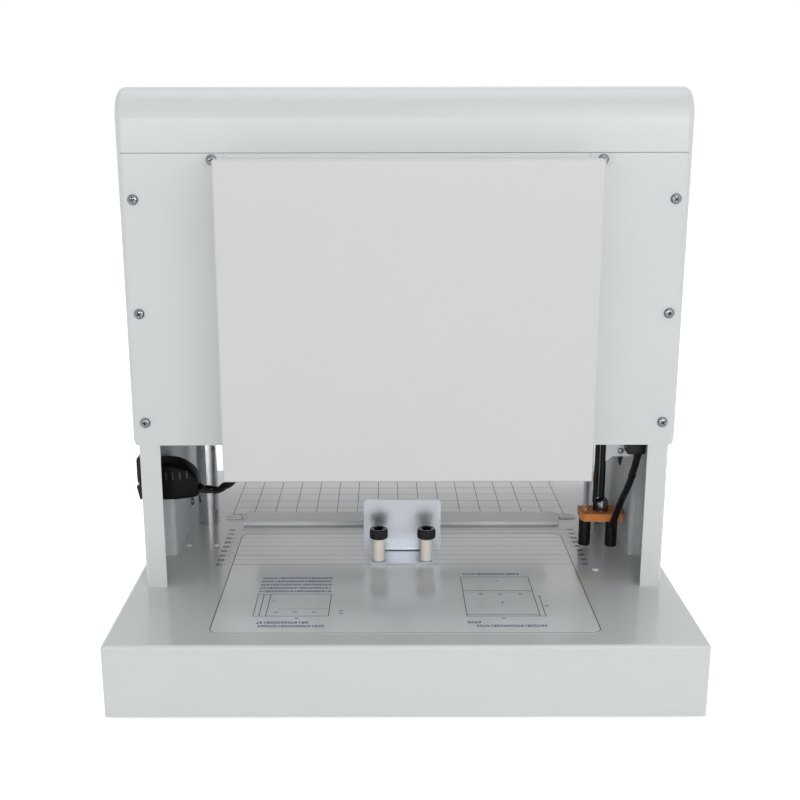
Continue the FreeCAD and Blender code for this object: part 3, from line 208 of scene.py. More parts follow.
def mottle(tree, place, size_mm, first, second, detail=3.0, stretch=(1, 1, 1)):
    """Two colours drifting into each other over the surface."""
    spot = add(tree, "ShaderNodeMapping", {"Vector": place, "Scale": stretch})
    cloud = add(tree, "ShaderNodeTexNoise", {"Vector": spot.outputs[0], "Scale": per_metre(size_mm),
                                             "Detail": detail})
    mix = add(tree, "ShaderNodeMix", {0: cloud.outputs["Fac"], 6: first, 7: second}, data_type="RGBA")
    return mix.outputs[2], cloud.outputs["Fac"]


def relief(tree, shader, height, depth_mm):
    """Small heights on the surface."""
    bump = add(tree, "ShaderNodeBump", {"Height": height, "Distance": depth_mm * MM, "Strength": 1.0})
    tree.links.new(bump.outputs["Normal"], shader.inputs["Normal"])


def spread(tree, value, low, high):
    """Turns a pattern, of which nearly all lies between 0.3 and 0.7, into a range of another value."""
    return add(tree, "ShaderNodeMapRange", {"Value": value, "From Min": 0.3, "From Max": 0.7, "To Min": low,
                                            "To Max": high}).outputs[0]


def colour_and_gloss(tree, shader, tint, pattern, low, high):
    """Links the colour, and a roughness that drifts between two values."""
    tree.links.new(tint, shader.inputs["Base Color"])
    tree.links.new(spread(tree, pattern, low, high), shader.inputs["Roughness"])


def shade(colour, factor):
    """The same colour, lighter or darker."""
    return tuple(min(1.0, c * factor) for c in colour[:3]) + (1.0,)


def powder_coat(name, colour, low=0.30, high=0.40, coat=0.5):
    """Powder on steel sheet, sprayed and baked: a pale satin with the faint dimples of orange peel."""
    made, tree, shader, place = begin(name, IOR=1.5, Coat_Weight=coat, Coat_Roughness=low * 0.4)
    tint, cloud = mottle(tree, place, 90, shade(colour, 0.975), shade(colour, 1.02))
    peel = add(tree, "ShaderNodeTexNoise", {"Vector": place, "Scale": per_metre(1.6), "Detail": 1.0})
    colour_and_gloss(tree, shader, tint, cloud, low, high)
    relief(tree, shader, peel.outputs["Fac"], 0.012)
    return made


def galvanised_sheet():
    """Zinc on rolled sheet: upright rolling streaks over faint crystals a few millimetres across."""
    made, tree, shader, place = begin("Galvanised steel, rolled", Metallic=0.1, IOR=1.5)
    tint, streak = mottle(tree, place, 1.6, linear("BCC1C3"), linear("DFE3E5"), 3.0, (1, 1, 0.03))
    cells = add(tree, "ShaderNodeTexVoronoi", {"Vector": place, "Scale": per_metre(5)})
    grey = add(tree, "ShaderNodeSeparateColor", {"Color": cells.outputs["Color"]})
    blend = add(tree, "ShaderNodeMix", {0: spread(tree, grey.outputs[0], 0.0, 0.12), 6: tint,
                                        7: linear("A9AFB2")}, data_type="RGBA")
    colour_and_gloss(tree, shader, blend.outputs[2], streak, 0.48, 0.6)
    relief(tree, shader, streak, 0.008)
    return made


def worked_metal(name, code, low, high, grain_mm, stretch, metallic=1.0, depth_mm=0.006):
    """Metal whose tool marks run one way: the stretch says which. They are drawn coarse enough to show."""
    colour = linear(code)
    made, tree, shader, place = begin(name, Metallic=metallic)
    tint, lines = mottle(tree, place, grain_mm, shade(colour, 0.93), shade(colour, 1.05), 2.0, stretch)
    cloud = add(tree, "ShaderNodeTexNoise", {"Vector": place, "Scale": per_metre(30), "Detail": 2.0})
    colour_and_gloss(tree, shader, tint, cloud.outputs["Fac"], low, high)
    relief(tree, shader, lines, depth_mm)
    return made


def moulded_plastic(name, code, low, high, grain_mm=0.7, depth_mm=0.03, soft=0.0, gloss=0.5):
    """Plastic or rubber: the grain of the mould, drawn coarse enough to show, and slightly uneven gloss."""
    colour = linear(code)
    made, tree, shader, place = begin(name, IOR=1.5, Subsurface_Weight=soft, Subsurface_Scale=2 * MM,
                                      Specular_IOR_Level=gloss)
    tint, cloud = mottle(tree, place, 18, shade(colour, 0.9), shade(colour, 1.1))
    grain = add(tree, "ShaderNodeTexNoise", {"Vector": place, "Scale": per_metre(grain_mm), "Detail": 2.0})
    colour_and_gloss(tree, shader, tint, cloud, low, high)
    relief(tree, shader, grain.outputs["Fac"], depth_mm)
    return made


def phenolic_laminate():
    """Board pressed from resin-soaked paper: its thin layers show as lines along the sawn edges."""
    made, tree, shader, place = begin("Paper phenolic, sawn", IOR=1.55)
    spot = add(tree, "ShaderNodeMapping", {"Vector": place, "Scale": (0.05, 0.05, 1)})
    layers = add(tree, "ShaderNodeTexNoise", {"Vector": spot.outputs[0], "Scale": per_metre(0.7),
                                              "Detail": 2.0})
    tint = add(tree, "ShaderNodeMix", {0: layers.outputs["Fac"], 6: linear("D8742E"), 7: linear("F4A45A")},
               data_type="RGBA")
    fleck = add(tree, "ShaderNodeTexNoise", {"Vector": place, "Scale": per_metre(2.2), "Detail": 4.0})
    colour_and_gloss(tree, shader, tint.outputs[2], fleck.outputs["Fac"], 0.38, 0.55)
    relief(tree, shader, layers.outputs["Fac"], 0.03)
    return made


def printed_film(name, colour):
    """Clear polyester film over the paint: glossy, with slow waves where it was laid by hand."""
    made, tree, shader, place = begin(name, IOR=1.6, Coat_Weight=0.4, Coat_Roughness=0.12)
    tint, cloud = mottle(tree, place, 110, shade(colour, 0.95), shade(colour, 1.0))
    wave = add(tree, "ShaderNodeTexNoise", {"Vector": place, "Scale": per_metre(45), "Detail": 1.0})
    colour_and_gloss(tree, shader, tint, cloud, 0.2, 0.26)
    relief(tree, shader, wave.outputs["Fac"], 0.01)
    return made


def printing_ink(name, colour):
    """Screen-printed ink: slightly uneven, as the screen lays it. The marks are drawn coarse to show."""
    made, tree, shader, place = begin(name, IOR=1.5)
    tint, cloud = mottle(tree, place, 2.5, shade(colour, 0.85), shade(colour, 1.3), 4.0)
    colour_and_gloss(tree, shader, tint, cloud, 0.3, 0.5)
    return made


def dark_glass():
    """Smoked acrylic over the display: almost black, with a clear gloss that is not quite even."""
    made, tree, shader, place = begin("Smoked acrylic, cast", IOR=1.49, Coat_Weight=0.3)
    tint, cloud = mottle(tree, place, 25, linear("10181A"), linear("1A2426"))
    colour_and_gloss(tree, shader, tint, cloud, 0.05, 0.12)
    return made


def circuit_board():
    """Green lacquer over copper tracks: square-cornered lighter paths about 4 mm apart."""
    made, tree, shader, place = begin("Epoxy glass board, solder mask", IOR=1.5, Coat_Weight=0.4)
    tracks = add(tree, "ShaderNodeTexVoronoi", {"Vector": place, "Scale": per_metre(4)},
                 distance="CHEBYCHEV")
    ring = add(tree, "ShaderNodeMath", {0: tracks.outputs["Distance"], 1: 0.45},
               operation="GREATER_THAN")
    tint = add(tree, "ShaderNodeMix", {0: ring.outputs[0], 6: linear("1C5A30"), 7: linear("2E7F48")},
               data_type="RGBA")
    colour_and_gloss(tree, shader, tint.outputs[2], tracks.outputs["Distance"], 0.28, 0.38)
    relief(tree, shader, ring.outputs[0], 0.03)
    return made


def make_finishes():
    """Every material, by the record's slot name or by the piece that has its own."""
    finish = bpy.context.scene.riveter_finish
    # Turning marks run round a piece, and rolling marks run across the machine.
    turned, rolled = (1, 1, 12), (0.1, 1, 1)
    return {
        "painted_white": powder_coat("Powder coat, satin light grey", finish.powder_grey),
        "drive_cover": powder_coat("Powder coat, satin warm white", finish.cover_grey, 0.36, 0.46),
        "base_cover": powder_coat("Powder coat, glossy light grey", finish.powder_grey, 0.2, 0.26, 0.3),
        "galvanised": galvanised_sheet(),
        # Rubber swallows the light. The ribs' lighter, shinier rubber is a painted sheen where light catches
        # their crests.
        "black_rubber": moulded_plastic("Natural rubber, compression moulded", "0C0C0E", 0.42, 0.58, 1.2,
                                        0.05, gloss=0.12),
        "rib_sheen_rubber": moulded_plastic("Natural rubber, painted sheen on ribs", "2C2C30", 0.28, 0.36, 1.2, 0.02),
        "pad_white": moulded_plastic("Polyethylene strip, planed", "F2F4F5", 0.35, 0.5, 2.0, 0.006, 0.1),
        # The film's colour is the paint's, made lighter: painted light that makes up for the head's shade
        # over the table.
        "printed_film": printed_film("Polyester film, laid over paint", shade(finish.powder_grey, 1.22)),
        # Dull zinc is grey and soft. The dome nut's metal is drawn dark, a painted dark reflection of the
        # surroundings it mirrors.
        "terminal_bracket": worked_metal("Steel sheet, zinc plated, dull", "A4A8AC", 0.42, 0.55, 2.0,
                                         rolled, 0.7),
        "cap_nut": worked_metal("Steel, nickel plated, painted dark reflection", "7C7E82", 0.1, 0.18, 0.8, turned),
        # Bright zinc has a cold, slightly streaked shine. Its colour is drawn darker, a painted dark
        # reflection of the surroundings the screw heads mirror.
        "zinc_steel": worked_metal("Steel, bright zinc plated", "7E8186", 0.12, 0.22, 1.5, turned),
        # Ground hard chrome mirrors the room in long upright streaks.
        "polished_chrome": worked_metal("Hard chrome, ground and polished", "D2D3D6", 0.05, 0.09, 0.8,
                                        turned),
        # Rolled aluminium sheet shows a soft sheen drawn out along the rolling direction.
        "satin_aluminium": worked_metal("Aluminium sheet, satin anodised", "C4C8CE", 0.28, 0.36, 1.2,
                                        rolled),
        "bronze": worked_metal("Sintered bronze, bored", "A9844C", 0.35, 0.5, 0.8, turned),
        "motor_black": worked_metal("Aluminium, black anodised", "1D1D20", 0.35, 0.5, 1.0, turned, 0.6),
        # Black oxide keeps the steel's shine under a thin dark skin.
        "knob_steel": worked_metal("Alloy steel, black oxide", "2A2A2D", 0.28, 0.4, 0.9, turned, 0.8),
        "orange_phenolic": phenolic_laminate(),
        "black_plastic": moulded_plastic("Black ABS, eroded mould", "111113", 0.3, 0.45, gloss=0.25),
        "brass": worked_metal("Brass, turned", "E2B48C", 0.28, 0.36, 0.6, turned),
        "white_nylon": moulded_plastic("Nylon, natural, turned", "E9E5DC", 0.35, 0.5, 1.0, 0.02, 0.2),
        "keypad_grey": moulded_plastic("Polyester overlay, matt printed", "4A5058", 0.4, 0.5, 0.9, 0.01),
        "display_glass": dark_glass(),
        "circuit_green": circuit_board(),
        "supply_metal": worked_metal("Aluminium sheet, mill finish", "B9BCC0", 0.3, 0.45, 2.0, rolled),
        "key_plastic": moulded_plastic("ABS key caps, polished mould", "C4C8CC", 0.28, 0.35, 0.8, 0.01),
        "start_green": moulded_plastic("ABS key cap, green", "2F8A4A", 0.28, 0.35, 0.8, 0.01),
        "ink": printing_ink("Screen ink, slate", finish.ink),
        "blue_ink": printing_ink("Screen ink, blue", finish.blue_ink),
        "wire_pvc": moulded_plastic("PVC insulation, extruded", "101012", 0.32, 0.45, 0.6, 0.01,
                                    gloss=0.25),
    }


finishes = {}


# Pieces in mesh code

def mesh_of(name, form):
    """Mesh data from a form, which is used up."""
    mesh = bpy.data.meshes.new(name)
    form.to_mesh(mesh)
    form.free()
    return mesh


def show(name, form, finish, body="machine_frame", bevel=0.0, sharp=35):
    """Turns a mesh form into a piece with its material, riding on a body."""
    bmesh.ops.recalc_face_normals(form, faces=form.faces)
    mesh = mesh_of(name, form)
    mesh.materials.append(finishes[finish])
    mesh.polygons.foreach_set("use_smooth", [True] * len(mesh.polygons))
    mesh.set_sharp_from_angle(angle=math.radians(sharp))
    made = put(name, mesh)
    if bevel:
        edges = made.modifiers.new("broken edges", "BEVEL")
        edges.width = bevel
        edges.segments = 3
        edges.limit_method = "ANGLE"
        edges.harden_normals = True
    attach(made, body)
    return made


def rounded(outline, steps=4):
    """Outline of (across, along, radius) with each corner that has a radius drawn as a short curve."""
    result = []
    last = len(outline) - 1
    for k, point in enumerate(outline):
        here = Vector(point[:2])
        cut = point[2] if len(point) > 2 else 0
        if not cut or k in (0, last):
            result.append(tuple(here))
            continue
        first = here + (Vector(outline[k - 1][:2]) - here).normalized() * cut
        after = here + (Vector(outline[k + 1][:2]) - here).normalized() * cut
        for s in range(steps + 1):
            t = s / steps
            result.append(tuple(first * (1 - t) ** 2 + here * (2 * t * (1 - t)) + after * t * t))
    return result


def lathe(form, outline, seat, steps=48, ripple=None):
    """Adds the surface that an outline of (radius, height) sweeps about the seat's Z axis."""
    rings = []
    for radius, height in outline:
        if radius < ON_AXIS:
            rings.append([form.verts.new(seat @ Vector((0, 0, height)))])
            continue
        ring = []
        for k in range(steps):
            turn = 2 * math.pi * k / steps
            r = radius * (ripple(turn, height) if ripple else 1)
            ring.append(form.verts.new(seat @ Vector((r * math.cos(turn), r * math.sin(turn), height))))
        rings.append(ring)
    for low, high in zip(rings, rings[1:]):
        for k in range(steps):
            corners = []
            for corner in (low[k % len(low)], low[(k + 1) % len(low)], high[(k + 1) % len(high)],
                           high[k % len(high)]):
                if corner not in corners:
                    corners.append(corner)
            if len(corners) > 2:
                form.faces.new(corners)


def band(form, low, high):
    """Adds the faces between two rings of as many points each."""
    for k in range(len(low)):
        after = (k + 1) % len(low)
        form.faces.new([low[k], low[after], high[after], high[k]])


def skin(form, rings):
    """Adds the faces between rings that follow each other, and closes both ends."""
    for low, high in zip(rings, rings[1:]):
        band(form, low, high)
    form.faces.new(rings[0][::-1])
    form.faces.new(rings[-1])


def stamp(form, mesh, seat):
    """Adds a copy of a mesh at a seat."""
    count = len(form.verts)
    form.from_mesh(mesh)
    form.verts.ensure_lookup_table()
    bmesh.ops.transform(form, matrix=seat, verts=form.verts[count:])


def prism(form, outline, low, high, seat=Matrix()):
    """Adds an upright block from a closed outline of (x, y)."""
    bottom, top = [[form.verts.new(seat @ Vector((x, y, z))) for x, y in outline] for z in (low, high)]
    form.faces.new(bottom[::-1])
    form.faces.new(top)
    band(form, bottom, top)


def block(form, x0, x1, y0, y1, z0, z1, seat=Matrix()):
    """Adds a rectangular block."""
    prism(form, [(x0, y0), (x1, y0), (x1, y1), (x0, y1)], z0, z1, seat)


def regular(sides, radius, turn=0.0, at=(0, 0)):
    """Corners of a regular outline."""
    return [(at[0] + radius * math.cos(turn + 2 * math.pi * k / sides),
             at[1] + radius * math.sin(turn + 2 * math.pi * k / sides)) for k in range(sides)]


def stand(x, y, z):
    """A seat upright at a place in millimetres."""
    return Matrix.Translation(Vector((x, y, z)) * MM)


def mm(*values):
    """Millimetres as metres."""
    return [v * MM for v in values]


def profile(*points):
    """Rounded outline in metres from (radius, height) or (radius, height, corner) in millimetres."""
    return rounded([mm(*p) for p in points])


def tube(form, path, radius, sides=12):
    """Adds a closed tube along points that are close together."""
    rings = []
    side = Vector((0, 0, 1))
    for k, here in enumerate(path):
        ahead = path[min(k + 1, len(path) - 1)] - path[max(k - 1, 0)]
        ahead.normalize()
        side = (side - ahead * side.dot(ahead)).normalized()
        other = ahead.cross(side)
        rings.append([form.verts.new(here + (side * math.cos(t) + other * math.sin(t)) * radius)
                      for t in (2 * math.pi * s / sides for s in range(sides))])
    skin(form, rings)


# Wiring

def route_curve(name, points, radius=0.0):
    """One open NURBS line with the route's points as its control points."""
    line = bpy.data.curves.new(name, "CURVE")
    line.dimensions = "3D"
    line.resolution_u = 24
    spline = line.splines.new("NURBS")
    spline.points.add(len(points) - 1)
    for place, point in zip(spline.points, points):
        place.co = (*point, 1)
    spline.order_u = 3
    spline.use_endpoint_u = True
    line.bevel_depth = radius
    line.bevel_resolution = 6
    line.use_fill_caps = True
    return put(name, line)


def followed(points):
    """Points close together along the route's smooth line."""
    guide = route_curve("guide", points)
    mesh = bpy.data.meshes.new_from_object(guide)
    places = [v.co.copy() for v in mesh.vertices]
    bpy.data.meshes.remove(mesh)
    line = guide.data
    bpy.data.objects.remove(guide)
    bpy.data.curves.remove(line)
    return places


class RIVETER_OT_camera(bpy.types.Operator):
    """Set up the camera at the photograph's viewing angle"""
    bl_idname = "riveter.camera"
    bl_label = "Camera"

    def execute(self, context):
        settings = context.scene.riveter_studio
        lens = bpy.data.cameras.new("camera")
        lens.sensor_width = SENSOR_WIDTH
        lens.lens = settings.focal_length
        lens.shift_x = settings.frame_shift
        lens.clip_start = 0.01
        camera = put("camera", lens)
        camera.matrix_world = (Matrix.Translation(settings.camera_place)
                               @ Matrix.Rotation(settings.camera_tilt, 4, "X")
                               @ Matrix.Rotation(settings.camera_roll, 4, "Z"))
        context.scene.camera = camera
        return {"FINISHED"}


class RIVETER_OT_finishes(bpy.types.Operator):
    """Make the materials and put them on the nodes that the frame brings"""
    bl_idname = "riveter.finishes"
    bl_label = "Finishes"

    def execute(self, context):
        finishes.update(make_finishes())
        for part in frame["record"]["subparts"]:
            node = frame["nodes"][part["node"]]
            finish = finishes.get(part["node"], finishes[part["material_slot"]])
            node.data.materials.clear()
            node.data.materials.append(finish)
        return {"FINISHED"}


class RIVETER_OT_wiring(bpy.types.Operator):
    """Lay the lamp cable with its tie, and the twisted wires behind the inlet"""
    bl_idname = "riveter.wiring"
    bl_label = "Wiring"

    def execute(self, context):
        wiring = context.scene.riveter_wiring
        radius = wiring.cable_radius

        cable = route_curve("lamp_cable", LAMP_ROUTE, radius)
        cable.data.materials.append(finishes["wire_pvc"])
        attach(cable, "machine_frame")
        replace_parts(cable, "lamp_loom")
        line = followed(LAMP_ROUTE)
        middle = len(line) // 4
        ahead = (line[middle + 1] - line[middle]).normalized()
        seat = Matrix.Translation(line[middle]) @ ahead.to_track_quat("Z", "X").to_matrix().to_4x4()
        form = bmesh.new()
        # The tie is a band that presses a little into the cable, with a square lock at one side.
        inner, outer, half = 2.9, 3.7, 1.1
        lathe(form, profile((inner, -half), (outer, -half, 0.3), (outer, half, 0.3), (inner, half)), seat, 32)
        block(form, *mm(2.6, 5.4, -1.7, 1.7, -1.5, 1.5), seat)
        tie = show("cable_tie", form, "black_plastic", bevel=0.3 * MM)

        line = followed(INLET_ROUTE)
        radius = wiring.bundle_radius
        count = wiring.strands
        wire = radius / (1 + 1 / math.sin(math.pi / count))
        # Where the wires leave the boot they lie further apart by this share, and close up over this length.
        fan, closing = 0.6, 12 * MM
        form = bmesh.new()
        for strand in range(count):
            path = []
            run = 0.0
            side = Vector((0, 0, 1))
            for k, here in enumerate(line):
                if k:
                    run += (here - line[k - 1]).length
                ahead = (line[min(k + 1, len(line) - 1)] - line[max(k - 1, 0)]).normalized()
                side = (side - ahead * side.dot(ahead)).normalized()
                turn = 2 * math.pi * (strand / count + run / wiring.lay_length)
                apart = (radius - wire) * (1 + fan * math.exp(-run / closing))
                path.append(here + (side * math.cos(turn) + ahead.cross(side) * math.sin(turn)) * apart)
            tube(form, path, wire)
        wires = show("inlet_wires", form, "wire_pvc")
        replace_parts(wires, "inlet_loom")
        return {"FINISHED"}


class RIVETER_OT_screws(bpy.types.Operator):
    """Replace the screws by domed pan heads with a cross recess"""
    bl_idname = "riveter.screws"
    bl_label = "Screws"

    def execute(self, context):
        # The head is domed and stands on a shank.
        shank, rim = 2.0, 4.55
        head_form = bmesh.new()
        lathe(head_form, profile((shank, -6.5), (shank, 0), (rim, 0), (rim, 1.0, 0.4), (4.2, 2.0, 0.9),
                                 (2.6, 2.75, 1.2), (0, 2.9)), Matrix(), 40)
        # The punch is two crossed wedges: half length, half width and height at the mouth and at the tip.
        punch_form = bmesh.new()
        for turn in (0, math.pi / 2):
            seat = Matrix.Rotation(turn, 4, "Z")
            mouth, tip = [[punch_form.verts.new(seat @ Vector(mm(x * long, y * wide, z)))
                           for x, y in SQUARE]
                          for long, wide, z in ((2.5, 0.62, 3.4), (1.3, 0.4, 0.9))]
            punch_form.faces.new(mouth)
            punch_form.faces.new(tip[::-1])
            band(punch_form, tip, mouth)
        things = []
        for name, form in (("screw blank", head_form), ("screw punch", punch_form)):
            bmesh.ops.recalc_face_normals(form, faces=form.faces)
            things.append(put(name, mesh_of(name, form)))
        blank, punch = things
        recess = blank.modifiers.new("recess", "BOOLEAN")
        recess.object = punch
        recess.operation = "DIFFERENCE"
        recess.solver = "EXACT"
        recess.use_self = True
        context.view_layer.update()
        screw = bpy.data.meshes.new_from_object(blank.evaluated_get(context.evaluated_depsgraph_get()))
        for thing in things:
            bpy.data.objects.remove(thing)

        # The small screw on the terminal bracket, the one on the left-hand frame, then those of the
        # rear panel and of the drive cover's ears. Each has its own turn, as a hand leaves them.
        toward_rear = Matrix.Rotation(math.pi / 2, 4, "X")
        toward_middle = Matrix.Rotation(math.pi / 2, 4, "Y")
        small = Matrix.Scale(0.62, 4)
        places = [(stand(202, -92, 192.2), toward_rear @ small, 0.3),
                  (stand(-225, 48.6, 94.7), toward_middle, 1.0)]
        panel_x, panel_y, ear_x, ear_y, ear_z, cover_middle = 231.5, -121, 165.5, -122.5, 458, 2.3
        for side in (-1, 1):
            for z, turn in ((228, 0.2), (326.5, 0.9), (425, 0.5)):
                places.append((stand(side * panel_x, panel_y, z), toward_rear, turn + side * 0.35))
            places.append((stand(cover_middle + side * ear_x, ear_y, ear_z), toward_rear, 0.6 + side * 0.2))
        form = bmesh.new()
        for place, face, turn in places:
            stamp(form, screw, place @ face @ Matrix.Rotation(turn, 4, "Z"))
        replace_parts(show("pan_screws", form, "zinc_steel"), "fixing_screws")
        return {"FINISHED"}


class RIVETER_OT_gauge(bpy.types.Operator):
    """Build the back gauge's knurled cap screws and its grooved sleeves"""
    bl_idname = "riveter.gauge"
    bl_label = "Back gauge"

    def execute(self, context):
        gauge = context.scene.riveter_gauge
        # A cap screw in millimetres, with heights below its top: stem, head, the head's underside, and a
        # socket with six flats, its floor and the lip where it starts.
        stem_r, head_r, skirt = 2.9, 8.9, -9.3
        socket_r, socket_floor, lip = 9 / math.sqrt(3), 5, 0.7
        knurled_from, knurled_to = mm(-8.6, -1.2)

        def ripple(turn, height):
            """Share of the radius that the knurls leave, highest in the middle of a ridge."""
            if not knurled_from < height < knurled_to:
                return 1.0
            wave = 0.5 + 0.5 * math.cos(gauge.knurls * turn)
            return 1.0 - gauge.knurl_depth / (head_r * MM) * (1 - wave ** 0.6)

        for side, name in ((-1, "left"), (1, "right")):
            low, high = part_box("stop_knob_" + name)
            x = (low.x + high.x) / 2 / MM
            y = (low.y + high.y) / 2 / MM
            top = high.z / MM
            stem = low.z / MM - top
            start = math.radians(side * 12)
            form = bmesh.new()
            outline = profile((0, stem), (stem_r, stem), (stem_r, skirt), (8.1, skirt), (8.75, skirt + 0.5),
                              (head_r, skirt + 0.75), (head_r, -1.3), (8.6, -1.0), (8.3, -0.4, 0.3),
                              (7.7, 0, 0.3), (socket_r + 0.9, 0), (socket_r + 0.15, -lip))
            lathe(form, outline, stand(x, y, top), 6 * gauge.knurls, ripple)
            rim = [v for v in form.verts if v.is_boundary and v.co.z > high.z - 2 * MM]
            floor, mouth = [[form.verts.new(stand(x, y, top - deep) @ Vector((px, py, 0)))
                             for px, py in regular(6, socket_r * MM, start)] for deep in (socket_floor, lip)]
            band(form, floor, mouth)
            form.faces.new(floor)
            # The rim's round hole is drawn onto the six flats.
            centre = Vector((x * MM, y * MM, 0))
            for v in rim:
                angle = (math.atan2(v.co.y - centre.y, v.co.x - centre.x) - start) % (math.pi / 3)
                reach = socket_r * MM * math.cos(math.pi / 6) / math.cos(angle - math.pi / 6)
                out = v.co - centre
                out.z = 0
                out = out.normalized() * reach
                v.co = Vector((centre.x + out.x, centre.y + out.y, high.z - lip * MM))
            knob = show("cap_screw_" + name, form, "knob_steel", "knob_" + name, sharp=28)
            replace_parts(knob, "stop_knob_" + name)

        form = bmesh.new()
        low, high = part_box("stop_sleeves")
        tall = high.z - low.z
        pitch = gauge.groove_pitch
        bore, end, wall, groove, chamfer, plain = mm(3.4, 5.5, 6, 5.72, 0.5, 1)
        outline = [(bore, 0), (end, 0), (wall, chamfer)]
        for k in range(int((tall - 2 * plain) / pitch)):
            z = plain + k * pitch
            outline += [(wall, z + pitch * 0.2), (groove, z + pitch * 0.5), (wall, z + pitch * 0.8)]
        outline += [(wall, tall - chamfer), (end, tall), (bore, tall), (bore, 0)]
        for x in (low.x + wall, high.x - wall):
            lathe(form, outline, Matrix.Translation((x, (low.y + high.y) / 2, low.z)), 48)
        sleeves = show("gauge_sleeves", form, "white_nylon", "back_gauge", sharp=60)
        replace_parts(sleeves, "stop_sleeves")
        return {"FINISHED"}


class RIVETER_OT_lamp_group(bpy.types.Operator):
    """Build the fine parts on the lamp plate: dome nut, brass terminal and lamps"""
    bl_idname = "riveter.lamp_group"
    bl_label = "Lamp group"

    def execute(self, context):
        top = plate_high.z / MM
        under = plate_low.z / MM

        # The dome nut: its place, its six corners' radius, the top of its flats, and its stud.
        x, y, corner, flats_top, stud = 202.3, -17, 7.35, top + 4.6, 2.4
        form = bmesh.new()
        lathe(form, profile((0, under - 6), (stud, under - 6), (stud, top), (7.3, top), (7.4, top + 1.0, 0.3),
                            (6.6, top + 1.4), (6.9, top + 7, 2.5), (6.2, top + 10.8, 2.4),
                            (3.6, top + 13.6, 1.8), (0, top + 14)), stand(x, y, 0))
        prism(form, regular(6, corner * MM, 0.3, mm(x, y)), (top + 1.2) * MM, flats_top * MM)
        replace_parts(show("cap_nut", form, "cap_nut", bevel=0.15 * MM), "dome_nut")

        # The brass terminal: a small nut with a threaded stud standing out of it.
        x, y, corner, flats_top, stud, stud_top = 185.5, -23, 3.25, top + 3.4, 1.9, top + 6.5
        threads, thread_pitch = 6, 0.5
        form = bmesh.new()
        prism(form, regular(6, corner * MM, 0.2, mm(x, y)), (top + 0.05) * MM, flats_top * MM)
        outline = [(0, top), (stud, top)]
        for k in range(threads):
            outline += [(2.3, top + 3.3 + thread_pitch * k), (2.0, top + 3.55 + thread_pitch * k)]
        outline += [(1.2, stud_top), (0, stud_top)]
        lathe(form, [mm(*point) for point in outline], stand(x, y, 0), 32)
        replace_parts(show("brass_terminal", form, "brass", bevel=0.12 * MM, sharp=50), "brass_cap")

        # Each barrel has a groove half-way up, one under the plate, and a lens set back in its foot.
        barrel, half_groove = 6.0, 5.4
        form = bmesh.new()
        for x, y, tall in LAMPS:
            foot = under - tall
            middle = under - tall / 2
            outline = profile((0, foot + 2.1), (2.5, foot + 2.1), (2.5, foot), (5.5, foot),
                              (barrel, foot + 0.5, 0.2), (barrel, middle - 0.6), (half_groove, middle - 0.5),
                              (half_groove, middle + 0.5), (barrel, middle + 0.6), (barrel, under - 3.2),
                              (5.7, under - 3.0), (5.7, under - 2.4), (barrel, under - 2.2),
                              (barrel, under), (0, under))
            lathe(form, outline, stand(x, y, 0), 40)
        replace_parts(show("lamp_barrels", form, "black_plastic"), "lamp_modules")
        return {"FINISHED"}


class RIVETER_OT_boot(bpy.types.Operator):
    """Mould the insulating boot behind the power inlet, with its grip ribs and cable nozzle"""
    bl_idname = "riveter.boot"
    bl_label = "Inlet boot"

    def execute(self, context):
        low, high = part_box("inlet_boot")
        x0, x1 = low.x / MM, high.x / MM
        y = (low.y + high.y) / 2 / MM
        bottom, top = low.z / MM, high.z / MM
        half_root, taper = 16.5, 6.5
        stations, corner_steps = 24, 4
        # How far the top lies below its highest line, at shares of the boot's length.
        shoulder = ((0.0, 0.0), (0.40, 0.0), (0.55, 0.8), (0.66, 2.3), (0.78, 4.6), (0.875, 7.4),
                    (0.95, 10.8), (1.0, 15.0))

        def drop(t):
            """The shoulder's drop at a share of the length."""
            for (t0, d0), (t1, d1) in zip(shoulder, shoulder[1:]):
                if t <= t1:
                    return d0 + (d1 - d0) * (t - t0) / (t1 - t0)
            return shoulder[-1][1]

        def half_width(t):
            """Half the boot's width, which tapers over its second half."""
            return half_root - taper * max(0.0, (t - 0.5) / 0.5) ** 1.1

        form = bmesh.new()
        rings = []
        for k in range(stations + 1):
            t = k / stations
            x = x0 + (x1 - x0) * (0.01 + 0.99 * t)
            upper = top - drop(t)
            lower = bottom + 1.6 * max(0.0, (t - 0.9) / 0.1)
            half = half_width(t)
            round_r = 3.0 + 3.0 * t
            outline = []
            for sx, sz, start in ((1, 1, 0), (-1, 1, 90), (-1, -1, 180), (1, -1, 270)):
                cy = sx * (half - round_r)
                cz = (upper - round_r) if sz > 0 else (lower + round_r)
                for s in range(corner_steps + 1):
                    a = math.radians(start + 90 / corner_steps * s)
                    outline.append((cy + round_r * math.cos(a), cz + round_r * math.sin(a)))
            rings.append([form.verts.new(Vector((x, y + p[0], p[1])) * MM) for p in outline])
        skin(form, rings)

        # Grip ribs on both sides, sunk in the boot and standing a little proud of it. Their lighter rubber is
        # a painted sheen on the crests.
        first_rib, rib_pitch, rib_wide, sunk, proud, rib_low, rib_high = 8.4, 6.3, 1.6, 2.0, 0.75, 20.5, 28
        ribs = bmesh.new()
        for k in range(5):
            x = x0 + first_rib + rib_pitch * k
            half = half_width((x + 1.2 - x0) / (x1 - x0))
            for side in (-1, 1):
                y0, y1 = sorted((y + side * (half - sunk), y + side * (half + proud)))
                block(ribs, *mm(x, x + rib_wide, y0, y1, bottom + rib_low, bottom + rib_high))
        show("boot_ribs", ribs, "rib_sheen_rubber", bevel=0.3 * MM)
        boot = show("moulded_boot", form, "black_rubber", bevel=0.5 * MM)
        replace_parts(boot, "inlet_boot")
        return {"FINISHED"}


